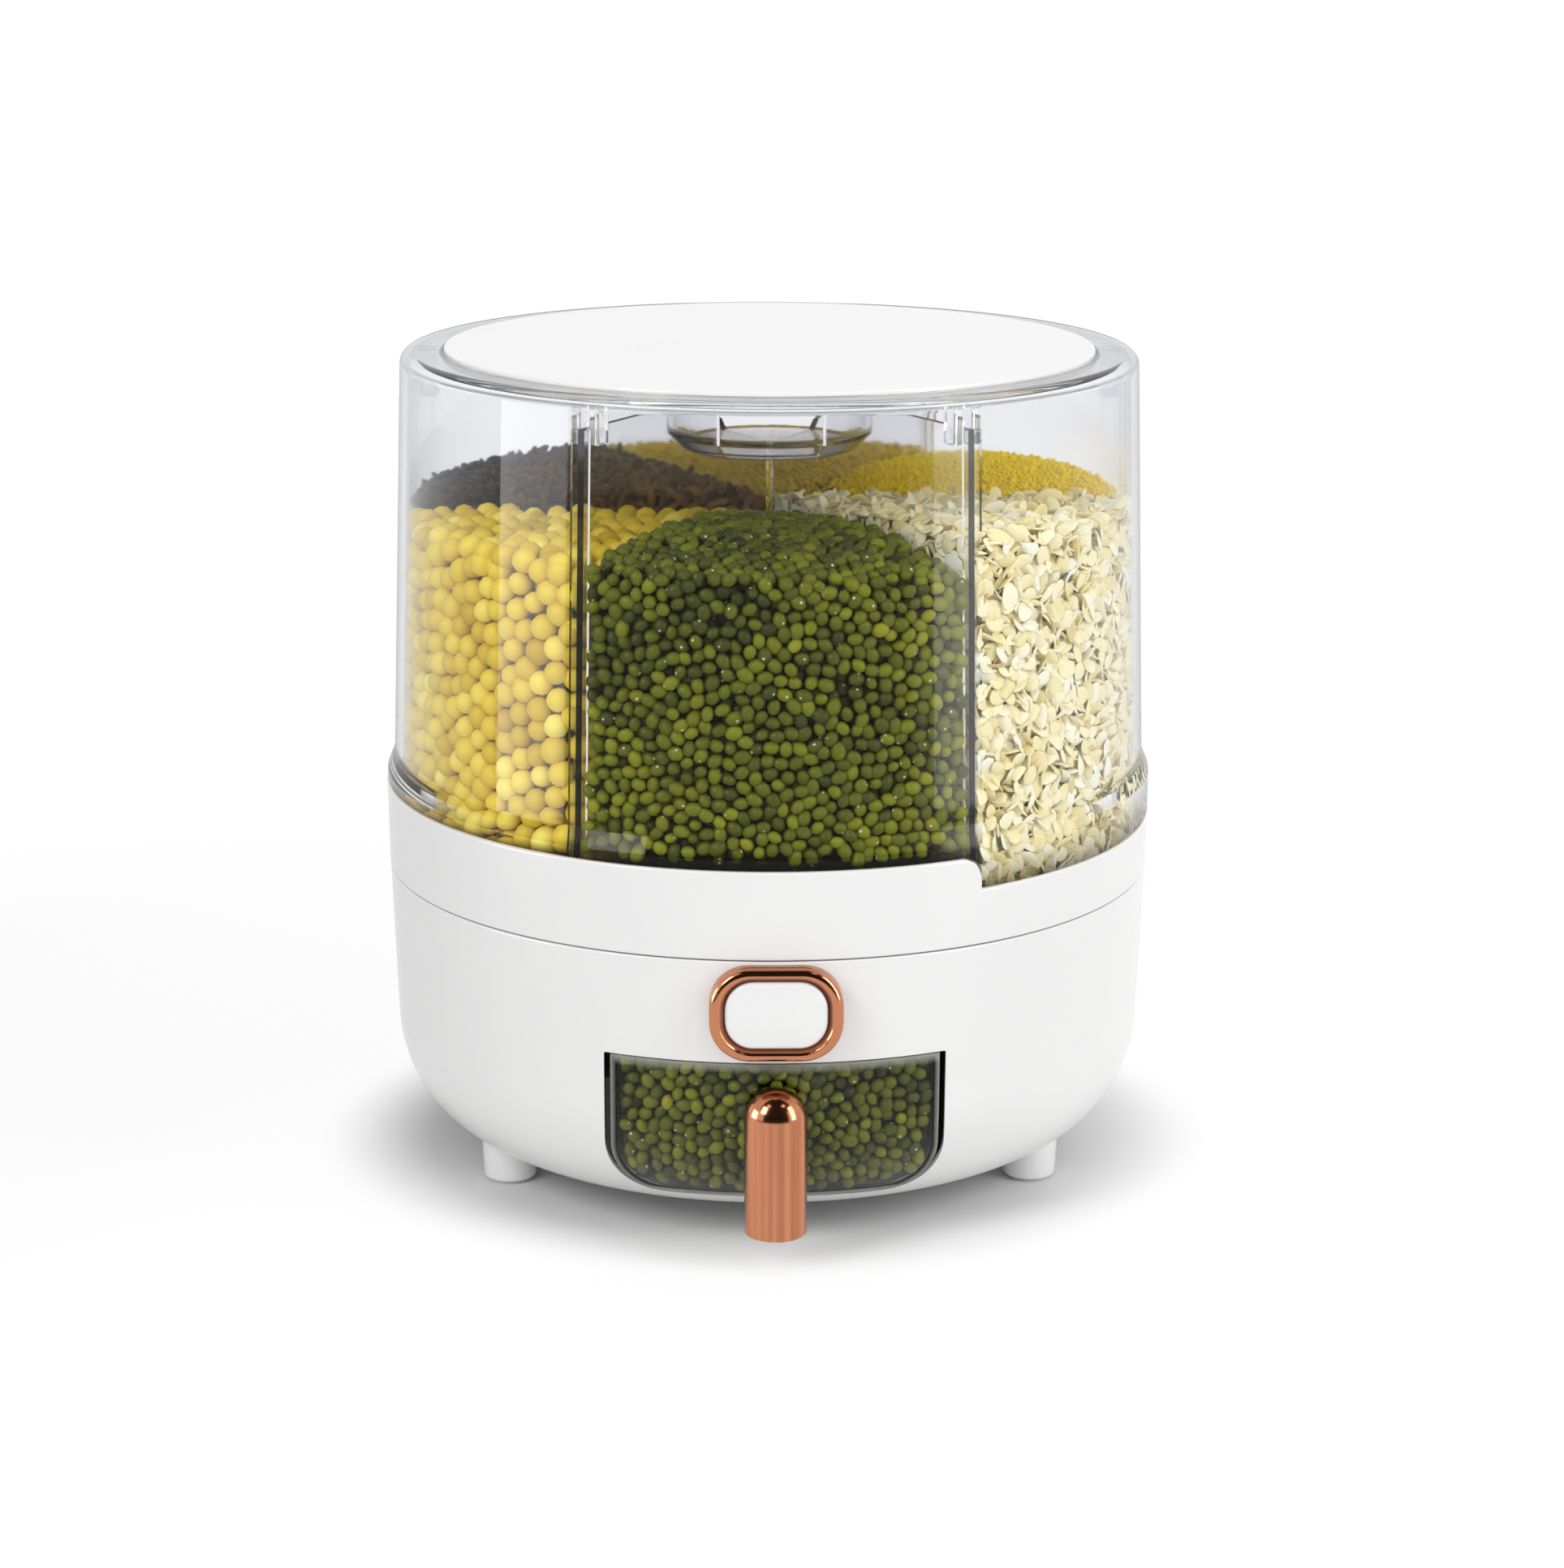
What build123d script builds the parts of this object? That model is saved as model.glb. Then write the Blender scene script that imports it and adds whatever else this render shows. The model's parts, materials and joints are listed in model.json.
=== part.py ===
from build123d import *
import os
from math import cos, radians, sin, sqrt, tan

os.makedirs("parts", exist_ok=True)

# Clearances
slide_gap = 0.3
seat_gap = 0.3
drop_in_gap = 0.4
screw_gap = 0.1
spindle_fit = 0.06

# Tub of the base: flat bottom, elliptical rounding, slightly flared side
tub_rim_r = 117.0
tub_flare = 1.6
tub_round_w = 29.8
tub_round_h = 35.7
tub_bottom_z = 9.5
tub_h = 82.3
tub_wall = 2.6

# Legs moulded under the tub, with soft pads let into them and columns above
leg_angle = 28.0
leg_bottom_r = 8.0
leg_taper = 3.0
pad_r = 6.6
pad_t = 2.4
pad_stand = 0.8
column_r = 4.8
column_inset = 1.15

# Drawer window in the tub and the drawer that fills it
window_half_w = 49.0
window_sill = 6.7
window_under_bezel = 1.95
window_corner_r = 18.0
drawer_side_gap = 1.8
drawer_bottom_gap = 0.8
drawer_top_gap = 0.5
drawer_wall = 2.2
drawer_back_y = -22.0

# Drawer rails on the tub floor
rail_inner_x = 22.0
rail_wall = 2.0
rail_front_inset = 51.0
rail_side_h = 23.0
rail_stop_depth = 9.0

# Half-round drawer handle
handle_r = 9.0
handle_stand = 2.2
handle_lift = 1.5
handle_top_drop = 6.5
handle_edge_r = 1.2
neck_w = 12.0
neck_h = 19.0
neck_top_drop = 5.0
handle_boss_w = 13.0
handle_boss_t = 2.6
handle_screw_drop = 4.0
handle_screw_pitch = 9.0
handle_screw_r = 1.5
handle_screw_bite = 6.0

# Push button in its raised bezel
button_w = 29.0
button_h = 19.5
button_side_flat = 3.5
button_under_deck = 0.45
button_proud = 5.0
button_depth = 16.5
button_edge_r = 1.2
button_face_t = 4.5
button_travel = 12.0
button_stop_wing = 3.5
button_stop_h = 15.0
button_stop_t = 2.0
bezel_side_w = 4.5
bezel_end_w = 4.0
bezel_corner_w = 3.5
bezel_proud = 4.6
bezel_round_r = 2.0
bezel_funnel = 1.5
bezel_sleeve = 1.5
pin_r = 1.25
pin_inset = 3.0

# Sliding shutter under the outlet, with its return spring
outlet_w = 44.0
outlet_l = 11.0
outlet_inset = 34.5
shutter_t = 2.4
shutter_cover = 2.55
shutter_half_w = 31.0
shutter_side_gap = 1.0
shutter_setback = 2.0
shutter_tail = 30.5
tongue_half_w = 9.0
tongue_length = 7.5
spring_web = 1.1
spring_floor_t = 1.95
spring_side_gap = 0.6
spring_wire_r = 0.6
spring_turns = 7

# Chute below the shutter
chute_wall = 2.0
chute_floor_t = 2.5
chute_slack = 1.5
chute_side_t = 3.0
chute_side_lead = 4.5
chute_tail = 32.5
chute_over_drawer = 1.6
chute_flange_w = 8.0
chute_flange_t = 2.5
chute_flange_setback = 1.5
chute_screw_front_inset = 6.0
chute_screw_back_inset = 7.0

# Fixed deck over the tub and the ball bearing on its rim
deck_rim_gap = 0.5
deck_rim_drop = 1.8
deck_rim_t = 2.6
deck_land_gap = 2.7
deck_land_t = 3.2
deck_wall = 2.5
deck_gap = 0.6
throat_wall = 2.2
boss_r = 12.0
boss_drop = 10.8
race_inset = 3.3
race_w = 9.4
race_h = 2.6
race_gap = 3.4
ball_r = 3.0
ball_inset = 4.6
ball_count = 12
ball_gap = 0.2
cage_inset = 0.4
cage_w = 8.4
cage_t = 1.8

# Spindle, the bush that runs on it and what holds the bush down
spindle_r = 6.0
spindle_inset = 2.0
bush_spigot_r = 8.0
hub_r = 10.0
hub_rise = 4.3
washer_r = 9.5
washer_t = 1.4
spindle_screw_r = 2.0
spindle_screw_head_r = 4.2
spindle_screw_head_h = 2.4
spindle_screw_length = 12.0

# Turntable and its stepped collar
turntable_t = 4.4
collar_proud = 0.1
collar_flare = 0.4
collar_wall = 1.9
collar_h = 25.8
collar_step = 9.5
collar_step_angle = -60.0
collar_corner_r = 6.5
collar_flange_w = 4.4
collar_flange_t = 2.2
seam_gap = 0.4
gasket_t = 1.5

# Clear drum
compartments = 6
drum_rise = 131.0
drum_wall = 2.4
drum_foot_inset = 0.2
drum_draft = 4.0
drum_flange_inset = 0.3
drum_flange_h = 3.5
drum_flange_slope_h = 5.5
drum_top_round_r = 3.6
drum_top_t = 2.6
drum_top_ring_w = 12.9
lid_ledge_w = 2.3
lid_seat_depth = 0.8
neck_ring_t = 2.6
neck_ring_drop = 2.0
lug_t = 3.0
lug_inset = 5.4
lug_w = 5.6
lug_overlap = 4.5

# Clear dividers, centre post and hub cup
divider_t = 2.0
divider_drop = 10.0
divider_edge_w = 5.4
divider_edge_t = 1.6
post_r = 2.0
post_foot_wall = 2.0
post_foot_top_t = 3.0
cup_r = 32.0
cup_round = 5.0
cup_h = 19.0
cup_drop = 11.0
cup_wall = 1.8

# Lift-off lid
lid_proud = 1.0
lid_rim_t = 1.6
lid_edge_r = 0.7
lid_plug_wall = 3.0
lid_plug_h = 3.6
lid_seal_t = 2.0
lid_seal_h = 2.6

# Screws
deck_screw_r = 1.6
deck_screw_head_r = 3.4
deck_screw_length = 15.0
countersink_angle = 90.0
small_screw_r = 1.4
small_head_r = 2.8
small_head_h = 1.8
small_screw_bite = 2.6
collar_screw_r = 1.1
collar_head_r = 1.9
collar_head_h = 1.4

# Radii worked out from the tub's rim, outside to inside
tub_side_r = tub_rim_r - tub_flare
tub_flat_r = tub_side_r - tub_round_w
collar_bottom_r = tub_rim_r + collar_proud
collar_top_r = collar_bottom_r + collar_flare
collar_inner_r = collar_top_r - collar_wall
turntable_r = collar_inner_r - drop_in_gap
drum_spigot_r = turntable_r
drum_foot_r = drum_spigot_r - drum_foot_inset
drum_shoulder_r = drum_foot_r - drum_draft
drum_flange_r = collar_top_r - drum_flange_inset
lug_outer_r = drum_shoulder_r - lug_inset
lug_inner_r = lug_outer_r - lug_w
lid_seat_r = drum_shoulder_r - drum_top_ring_w
lid_opening_r = lid_seat_r - lid_ledge_w
lid_r = lid_seat_r - seat_gap
lid_plug_r = lid_opening_r - seat_gap - lid_seal_t
deck_rim_r = tub_rim_r - tub_wall - deck_rim_gap
race_outer_r = deck_rim_r - race_inset
race_inner_r = race_outer_r - race_w
ball_circle_r = race_outer_r - ball_inset
cage_outer_r = race_outer_r - cage_inset
cage_inner_r = cage_outer_r - cage_w
deck_land_r = race_inner_r - deck_land_gap
leg_circle_r = deck_land_r - deck_wall - column_r - column_inset
outlet_r = tub_rim_r - outlet_inset
post_foot_r = hub_r + drop_in_gap + post_foot_wall
cup_flat_r = cup_r - cup_round

# Levels, from the floor up to the lid
floor_z = tub_bottom_z + tub_wall
tub_side_z = tub_bottom_z + tub_round_h
tub_rim_z = tub_bottom_z + tub_h
rim_top_z = tub_rim_z - deck_rim_drop
race_top_z = rim_top_z + race_h
ball_z = race_top_z + race_gap / 2
turntable_z = race_top_z + race_gap + race_h
turntable_top_z = turntable_z + turntable_t
land_top_z = turntable_z - deck_gap
land_z = land_top_z - deck_land_t
spindle_bottom_z = land_z - boss_drop + spindle_inset
hub_top_z = turntable_top_z + hub_rise
spindle_top_z = hub_top_z + slide_gap
drum_bottom_z = turntable_top_z + gasket_t
collar_bottom_z = tub_rim_z + seam_gap
collar_high_z = collar_bottom_z + collar_h
collar_low_z = collar_high_z - collar_step
drum_flange_top_z = collar_high_z + drum_flange_h
drum_foot_z = drum_flange_top_z + drum_flange_slope_h
drum_top_z = collar_high_z + drum_rise
drum_ceiling_z = drum_top_z - drum_top_t
neck_ring_z = drum_ceiling_z - neck_ring_drop
divider_top_z = drum_top_z - divider_drop
lug_bottom_z = divider_top_z - lug_overlap
cup_top_z = drum_top_z - cup_drop
cup_bottom_z = cup_top_z - cup_h
lid_seat_z = drum_top_z - lid_seat_depth
lid_top_z = drum_top_z + lid_proud
lid_z = lid_top_z - lid_rim_t
lid_plug_bottom_z = lid_z - lid_plug_h
post_foot_ceiling_z = spindle_top_z + washer_t + spindle_screw_head_h + drop_in_gap
post_foot_top_z = post_foot_ceiling_z + post_foot_top_t
post_top_z = cup_bottom_z - seat_gap

# Button and shutter, hung below the deck's rim
button_top_z = rim_top_z - deck_rim_t - button_under_deck
button_z = button_top_z - button_h / 2
button_corner_r = (button_h - button_side_flat) / 2
button_front_y = -(tub_rim_r + button_proud)
button_back_y = button_front_y + button_depth
bezel_w = button_w + 2 * bezel_side_w
bezel_h = button_h + 2 * bezel_end_w
bezel_corner_r = button_corner_r + bezel_corner_w
bezel_front_y = -(tub_rim_r + bezel_proud)
pin_y = button_back_y - pin_inset
shutter_z = button_top_z - shutter_cover - shutter_t
shutter_front_y = button_back_y + shutter_setback
shutter_back_y = shutter_tail - outlet_r
spring_top_z = shutter_z - seat_gap - spring_web
spring_bore_r = (spring_top_z - button_z + button_h / 2 - spring_floor_t) / 2
spring_r = spring_bore_r - spring_side_gap - spring_wire_r
spring_z = spring_top_z - spring_bore_r
spring_bore_end_y = button_front_y + button_face_t
throat_z = shutter_z + shutter_t + slide_gap
outlet_front_y = -outlet_r - outlet_l / 2
outlet_back_y = -outlet_r + outlet_l / 2

# Window, drawer and handle, below the bezel
window_bottom_z = tub_bottom_z + window_sill
window_top_z = button_z - bezel_h / 2 - window_under_bezel
drawer_half_w = window_half_w - drawer_side_gap
drawer_z = window_bottom_z + drawer_bottom_gap
drawer_top_z = window_top_z - drawer_top_gap
drawer_corner_r = window_corner_r - drawer_side_gap
rail_front_y = rail_front_inset - tub_rim_r
rail_side_z = drawer_z + rail_side_h
handle_back_y = -(tub_side_r + handle_stand)
handle_bottom_z = tub_bottom_z + handle_lift
handle_top_z = window_top_z - handle_top_drop
neck_top_z = handle_top_z - neck_top_drop
neck_bottom_z = neck_top_z - neck_h
handle_screw_high_z = neck_top_z - handle_screw_drop
handle_screw_low_z = handle_screw_high_z - handle_screw_pitch

# Chute between the shutter and the drawer
chute_floor_z = shutter_z - slide_gap - chute_floor_t
chute_bottom_z = drawer_top_z + chute_over_drawer
chute_front_y = outlet_front_y - chute_slack - chute_wall
chute_side_front_y = -outlet_r - chute_side_lead
chute_back_y = chute_tail - outlet_r
chute_flange_front_y = chute_flange_setback - outlet_r
chute_screw_front_y = chute_flange_front_y + chute_screw_front_inset
chute_screw_back_y = chute_back_y - chute_screw_back_inset
chute_half_w = shutter_half_w + shutter_side_gap + chute_side_t
chute_screw_x = chute_half_w + chute_flange_w / 2

leg_x = leg_circle_r * cos(radians(leg_angle))
leg_y = leg_circle_r * sin(radians(leg_angle))
leg_points = [(x, y) for x in (-leg_x, leg_x) for y in (-leg_y, leg_y)]
sector = 360 / compartments
drum_spigot_inner_r = drum_spigot_r - drum_wall


# Outer radius of the tub's straight side
def tub_side(z):
    flare = (tub_rim_r - tub_side_r) / (tub_rim_z - tub_side_z)
    return tub_side_r + flare * (z - tub_side_z)


# Outer radius of the tub at any level: flared side above, elliptical rounding below
def tub_outer(z):
    if z >= tub_side_z:
        return tub_side(z)
    depth = (tub_side_z - z) / tub_round_h
    return tub_flat_r + tub_round_w * sqrt(1 - depth**2)


# Half section of the tub, moved in from its outer surface
def tub_section(inset):
    low_z = tub_bottom_z + inset
    with BuildSketch(Plane.XZ) as section:
        with BuildLine():
            Line((0, low_z), (tub_flat_r, low_z))
            rounding = EllipticalCenterArc(
                (tub_flat_r, tub_side_z),
                tub_side_r - tub_flat_r - inset,
                tub_side_z - tub_bottom_z - inset,
                start_angle=270,
                arc_size=90,
            )
            Polyline(rounding @ 1, (tub_rim_r - inset, tub_rim_z), (0, tub_rim_z), (0, low_z))
        make_face()
    return section.sketch


# Outer and inner radius of the drum's drafted wall
def drum_outer(z):
    draft = (drum_foot_r - drum_shoulder_r) / (drum_top_z - drum_top_round_r - drum_foot_z)
    return drum_foot_r - draft * (z - drum_foot_z)


def drum_inner(z):
    return drum_outer(z) - drum_wall


# Upright plane through the axis, with its first direction at the given angle
def radial_plane(angle):
    outward = (cos(radians(angle)), sin(radians(angle)), 0)
    across = (sin(radians(angle)), -cos(radians(angle)), 0)
    return Plane(origin=(0, 0, 0), x_dir=outward, z_dir=across)


# Upright plane across the front, facing forward, at the given y
def front_plane(y):
    return Plane.XZ.offset(-y)


# Drawer outline seen from the front: square top corners, round bottom corners
def drawer_outline(half_w, low_z, high_z, corner_r, y):
    with BuildSketch(front_plane(y)) as outline:
        with BuildLine():
            Polyline(
                (-half_w, low_z + corner_r),
                (-half_w, high_z),
                (half_w, high_z),
                (half_w, low_z + corner_r),
            )
            RadiusArc((half_w, low_z + corner_r), (half_w - corner_r, low_z), corner_r)
            Line((half_w - corner_r, low_z), (corner_r - half_w, low_z))
            RadiusArc((corner_r - half_w, low_z), (-half_w, low_z + corner_r), corner_r)
        make_face()
    return outline.sketch


# Region on one side of the collar step, from a line moved to that side by the gap
def half_plane(angle, gap):
    reach = 4 * collar_top_r
    side = Rectangle(reach, reach, align=(Align.MIN, Align.CENTER), mode=Mode.PRIVATE)
    return Rot(0, 0, angle) * Pos(gap, 0) * side


# Solid inside the tub's outer surface, which trims what follows that surface
with BuildPart() as tub_form:
    revolve(tub_section(0), axis=Axis.Z)

with BuildPart() as tub_inner_form:
    revolve(tub_section(drawer_wall), axis=Axis.Z)

# Base shell: tub, legs, deck columns, drawer window and button hole
with BuildPart() as base_shell:
    add(tub_form.part)
    with BuildSketch(Plane.XY.offset(pad_stand)):
        with Locations(*leg_points):
            Circle(leg_bottom_r)
    extrude(amount=floor_z + tub_wall - pad_stand, taper=-leg_taper)
    revolve(tub_section(tub_wall), axis=Axis.Z, mode=Mode.SUBTRACT)
    with BuildSketch(Plane.XY.offset(floor_z - tub_wall / 2)):
        with Locations(*leg_points):
            Circle(column_r)
    extrude(amount=land_z - floor_z + tub_wall / 2)
    with BuildSketch(Plane.XY.offset(land_z)):
        with Locations(*leg_points):
            Circle(deck_screw_r + screw_gap)
    extrude(amount=-deck_screw_length, mode=Mode.SUBTRACT)
    with BuildSketch(Plane.XY):
        with Locations(*leg_points):
            Circle(pad_r + seat_gap)
    extrude(amount=pad_t, mode=Mode.SUBTRACT)
    window = drawer_outline(
        window_half_w, window_bottom_z, window_top_z, window_corner_r, rail_front_y
    )
    extrude(window, amount=tub_rim_r, mode=Mode.SUBTRACT)
    with BuildSketch(front_plane(button_back_y)):
        with Locations((0, button_z)):
            RectangleRounded(
                button_w + 2 * (slide_gap + bezel_sleeve + seat_gap),
                button_h + 2 * (slide_gap + bezel_sleeve + seat_gap),
                button_corner_r + slide_gap + bezel_sleeve + seat_gap,
            )
    extrude(amount=tub_rim_r, mode=Mode.SUBTRACT)
base_shell.part.label = "base_shell"
export_step(base_shell.part, "parts/base_shell.step")

# Soft pads let into the legs
with BuildPart() as foot_pads:
    with BuildSketch(Plane.XY):
        with Locations(*leg_points):
            Circle(pad_r)
    extrude(amount=pad_t)
foot_pads.part.label = "foot_pads"
export_step(foot_pads.part, "parts/foot_pads.step")

# Deck: low rim for the bearing, raised land, outlet throat and spindle boss
with BuildPart() as deck_plate:
    with BuildSketch(Plane.XZ):
        with BuildLine():
            Polyline(
                (0, land_z),
                (deck_land_r - deck_wall, land_z),
                (deck_land_r - deck_wall, rim_top_z - deck_rim_t),
                (deck_rim_r, rim_top_z - deck_rim_t),
                (deck_rim_r, rim_top_z),
                (deck_land_r, rim_top_z),
                (deck_land_r, land_top_z),
                (0, land_top_z),
                close=True,
            )
        make_face()
    revolve(axis=Axis.Z)
    with BuildSketch(Plane.XY.offset(land_top_z)):
        Circle(boss_r)
    extrude(amount=-(deck_land_t + boss_drop))
    with BuildSketch(Plane.XY.offset(throat_z)):
        with Locations((0, -outlet_r)):
            Rectangle(outlet_w + 2 * throat_wall, outlet_l + 2 * throat_wall)
    extrude(amount=land_z - throat_z)
    with BuildSketch(Plane.XY.offset(throat_z)):
        with Locations((0, -outlet_r)):
            Rectangle(outlet_w, outlet_l)
    extrude(amount=land_top_z - throat_z, mode=Mode.SUBTRACT)
    with Locations((0, 0, land_top_z)):
        Hole(spindle_r)
    with Locations(*[(x, y, land_top_z) for x, y in leg_points]):
        CounterSinkHole(
            deck_screw_r + screw_gap,
            deck_screw_head_r + screw_gap,
            counter_sink_angle=countersink_angle,
        )
    with BuildSketch(Plane.XY.offset(land_z)):
        for x in (-1, 1):
            for y in (chute_screw_front_y, chute_screw_back_y):
                with Locations((x * chute_screw_x, y)):
                    Circle(small_screw_r + screw_gap)
    extrude(amount=small_screw_bite, mode=Mode.SUBTRACT)
deck_plate.part.label = "deck_plate"
export_step(deck_plate.part, "parts/deck_plate.step")

# Countersunk screws that hold the deck down on the columns
deck_screw_head_h = (deck_screw_head_r - deck_screw_r) / tan(radians(countersink_angle / 2))
with BuildPart(Plane.XY.offset(land_top_z)) as deck_screws:
    with Locations(*leg_points):
        Cone(
            deck_screw_r,
            deck_screw_head_r,
            deck_screw_head_h,
            align=(Align.CENTER, Align.CENTER, Align.MAX),
        )
        Cylinder(
            deck_screw_r,
            deck_screw_length,
            align=(Align.CENTER, Align.CENTER, Align.MAX),
        )
deck_screws.part.label = "deck_screws"
export_step(deck_screws.part, "parts/deck_screws.step")

# Chute: tray under the shutter, side walls up to the deck, spout over the drawer
spout_w = outlet_w + 2 * chute_slack
spout_l = outlet_l + 2 * chute_slack
with BuildPart() as chute:
    with BuildSketch(Plane.XY.offset(chute_floor_z)):
        with Locations((0, chute_front_y)):
            Rectangle(
                2 * chute_half_w,
                chute_back_y - chute_front_y,
                align=(Align.CENTER, Align.MIN),
            )
    extrude(amount=chute_floor_t)
    with BuildSketch(Plane.XY.offset(chute_floor_z)):
        for side in (-1, 1):
            with Locations((side * (chute_half_w - chute_side_t / 2), chute_side_front_y)):
                Rectangle(
                    chute_side_t,
                    chute_back_y - chute_side_front_y,
                    align=(Align.CENTER, Align.MIN),
                )
    extrude(amount=land_z - chute_floor_z)
    with BuildSketch(Plane.XY.offset(land_z)):
        for side in (-1, 1):
            with Locations((side * chute_screw_x, chute_flange_front_y)):
                Rectangle(
                    chute_flange_w,
                    chute_back_y - chute_flange_front_y,
                    align=(Align.CENTER, Align.MIN),
                )
    extrude(amount=-chute_flange_t)
    with BuildSketch(Plane.XY.offset(chute_bottom_z)):
        with Locations((0, -outlet_r)):
            Rectangle(spout_w + 2 * chute_wall, spout_l + 2 * chute_wall)
    extrude(amount=chute_floor_z - chute_bottom_z)
    with BuildSketch(Plane.XY.offset(chute_bottom_z)):
        with Locations((0, -outlet_r)):
            Rectangle(spout_w, spout_l)
    extrude(amount=chute_floor_z + chute_floor_t - chute_bottom_z, mode=Mode.SUBTRACT)
    with BuildSketch(Plane.XY.offset(land_z)):
        for side in (-1, 1):
            for y in (chute_screw_front_y, chute_screw_back_y):
                with Locations((side * chute_screw_x, y)):
                    Circle(small_screw_r + screw_gap)
    extrude(amount=-chute_flange_t, mode=Mode.SUBTRACT)
chute.part.label = "chute"
export_step(chute.part, "parts/chute.step")

# Screws up through the chute's flanges
with BuildPart(Plane.XY.offset(land_z - chute_flange_t)) as chute_screws:
    for side in (-1, 1):
        for y in (chute_screw_front_y, chute_screw_back_y):
            with Locations((side * chute_screw_x, y)):
                Cylinder(
                    small_head_r,
                    small_head_h,
                    align=(Align.CENTER, Align.CENTER, Align.MAX),
                )
                Cylinder(
                    small_screw_r,
                    chute_flange_t + small_screw_bite - screw_gap,
                    align=(Align.CENTER, Align.CENTER, Align.MIN),
                )
chute_screws.part.label = "chute_screws"
export_step(chute_screws.part, "parts/chute_screws.step")

# Spindle pressed into the deck's boss
with BuildPart() as spindle:
    with BuildSketch(Plane.XY.offset(spindle_bottom_z)):
        Circle(spindle_r)
    extrude(amount=spindle_top_z - spindle_bottom_z)
    with Locations((0, 0, spindle_top_z)):
        Hole(spindle_screw_r + screw_gap, spindle_screw_length)
spindle.part.label = "spindle"
export_step(spindle.part, "parts/spindle.step")

# Washer over the turntable's bush
with BuildPart() as spindle_washer:
    with BuildSketch(Plane.XY.offset(spindle_top_z)):
        Circle(washer_r)
        Circle(spindle_screw_r + screw_gap, mode=Mode.SUBTRACT)
    extrude(amount=washer_t)
spindle_washer.part.label = "spindle_washer"
export_step(spindle_washer.part, "parts/spindle_washer.step")

# Screw that keeps the washer on the spindle
with BuildPart(Plane.XY.offset(spindle_top_z + washer_t)) as spindle_screw:
    Cylinder(
        spindle_screw_head_r,
        spindle_screw_head_h,
        align=(Align.CENTER, Align.CENTER, Align.MIN),
    )
    Cylinder(
        spindle_screw_r,
        spindle_screw_length,
        align=(Align.CENTER, Align.CENTER, Align.MAX),
    )
spindle_screw.part.label = "spindle_screw"
export_step(spindle_screw.part, "parts/spindle_screw.step")


# Flat race ring with its ball groove, from one level to another
def race_section(low_z, high_z):
    with BuildSketch(Plane.XZ) as section:
        with Locations(((race_inner_r + race_outer_r) / 2, (low_z + high_z) / 2)):
            Rectangle(race_outer_r - race_inner_r, high_z - low_z)
        with Locations((ball_circle_r, ball_z)):
            Circle(ball_r + ball_gap, mode=Mode.SUBTRACT)
    return section.sketch


# Lower race, seated on the deck's rim
with BuildPart() as lower_race:
    revolve(race_section(rim_top_z, race_top_z), axis=Axis.Z)
lower_race.part.label = "lower_race"
export_step(lower_race.part, "parts/lower_race.step")

# Upper race, under the turntable
with BuildPart() as upper_race:
    revolve(race_section(turntable_z - race_h, turntable_z), axis=Axis.Z)
upper_race.part.label = "upper_race"
export_step(upper_race.part, "parts/upper_race.step")

# Cage that spaces the balls
with BuildPart() as ball_cage:
    with BuildSketch(Plane.XY.offset(ball_z - cage_t / 2)):
        Circle(cage_outer_r)
        Circle(cage_inner_r, mode=Mode.SUBTRACT)
        with PolarLocations(ball_circle_r, ball_count):
            Circle(ball_r + ball_gap, mode=Mode.SUBTRACT)
    extrude(amount=cage_t)
ball_cage.part.label = "ball_cage"
export_step(ball_cage.part, "parts/ball_cage.step")

# Bearing balls
with BuildPart(Plane.XY.offset(ball_z)) as bearing_balls:
    with PolarLocations(ball_circle_r, ball_count):
        Sphere(ball_r)
bearing_balls.part.label = "bearing_balls"
export_step(bearing_balls.part, "parts/bearing_balls.step")

# Drawer rails with a rear stop, one each side
rail_outer_x = drawer_half_w + drop_in_gap + rail_wall
rail_back_y = drawer_back_y + drop_in_gap + rail_wall
for side, hand in ((-1, "left"), (1, "right")):
    with BuildPart() as drawer_rail:
        with BuildSketch(front_plane(rail_front_y)):
            with BuildLine():
                Polyline(
                    (side * rail_inner_x, floor_z),
                    (side * rail_outer_x, floor_z),
                    (side * rail_outer_x, rail_side_z),
                    (side * (rail_outer_x - rail_wall), rail_side_z),
                    (side * (rail_outer_x - rail_wall), drawer_z - slide_gap),
                    (side * rail_inner_x, drawer_z - slide_gap),
                    close=True,
                )
            make_face()
        extrude(amount=rail_front_y - rail_back_y)
        with BuildSketch(front_plane(rail_back_y)):
            with Locations((side * (rail_outer_x - rail_stop_depth / 2), floor_z)):
                Rectangle(
                    rail_stop_depth,
                    rail_side_z - floor_z,
                    align=(Align.CENTER, Align.MIN),
                )
        extrude(amount=rail_wall)
    drawer_rail.part.label = f"drawer_rail_{hand}"
    export_step(drawer_rail.part, f"parts/drawer_rail_{hand}.step")

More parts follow.
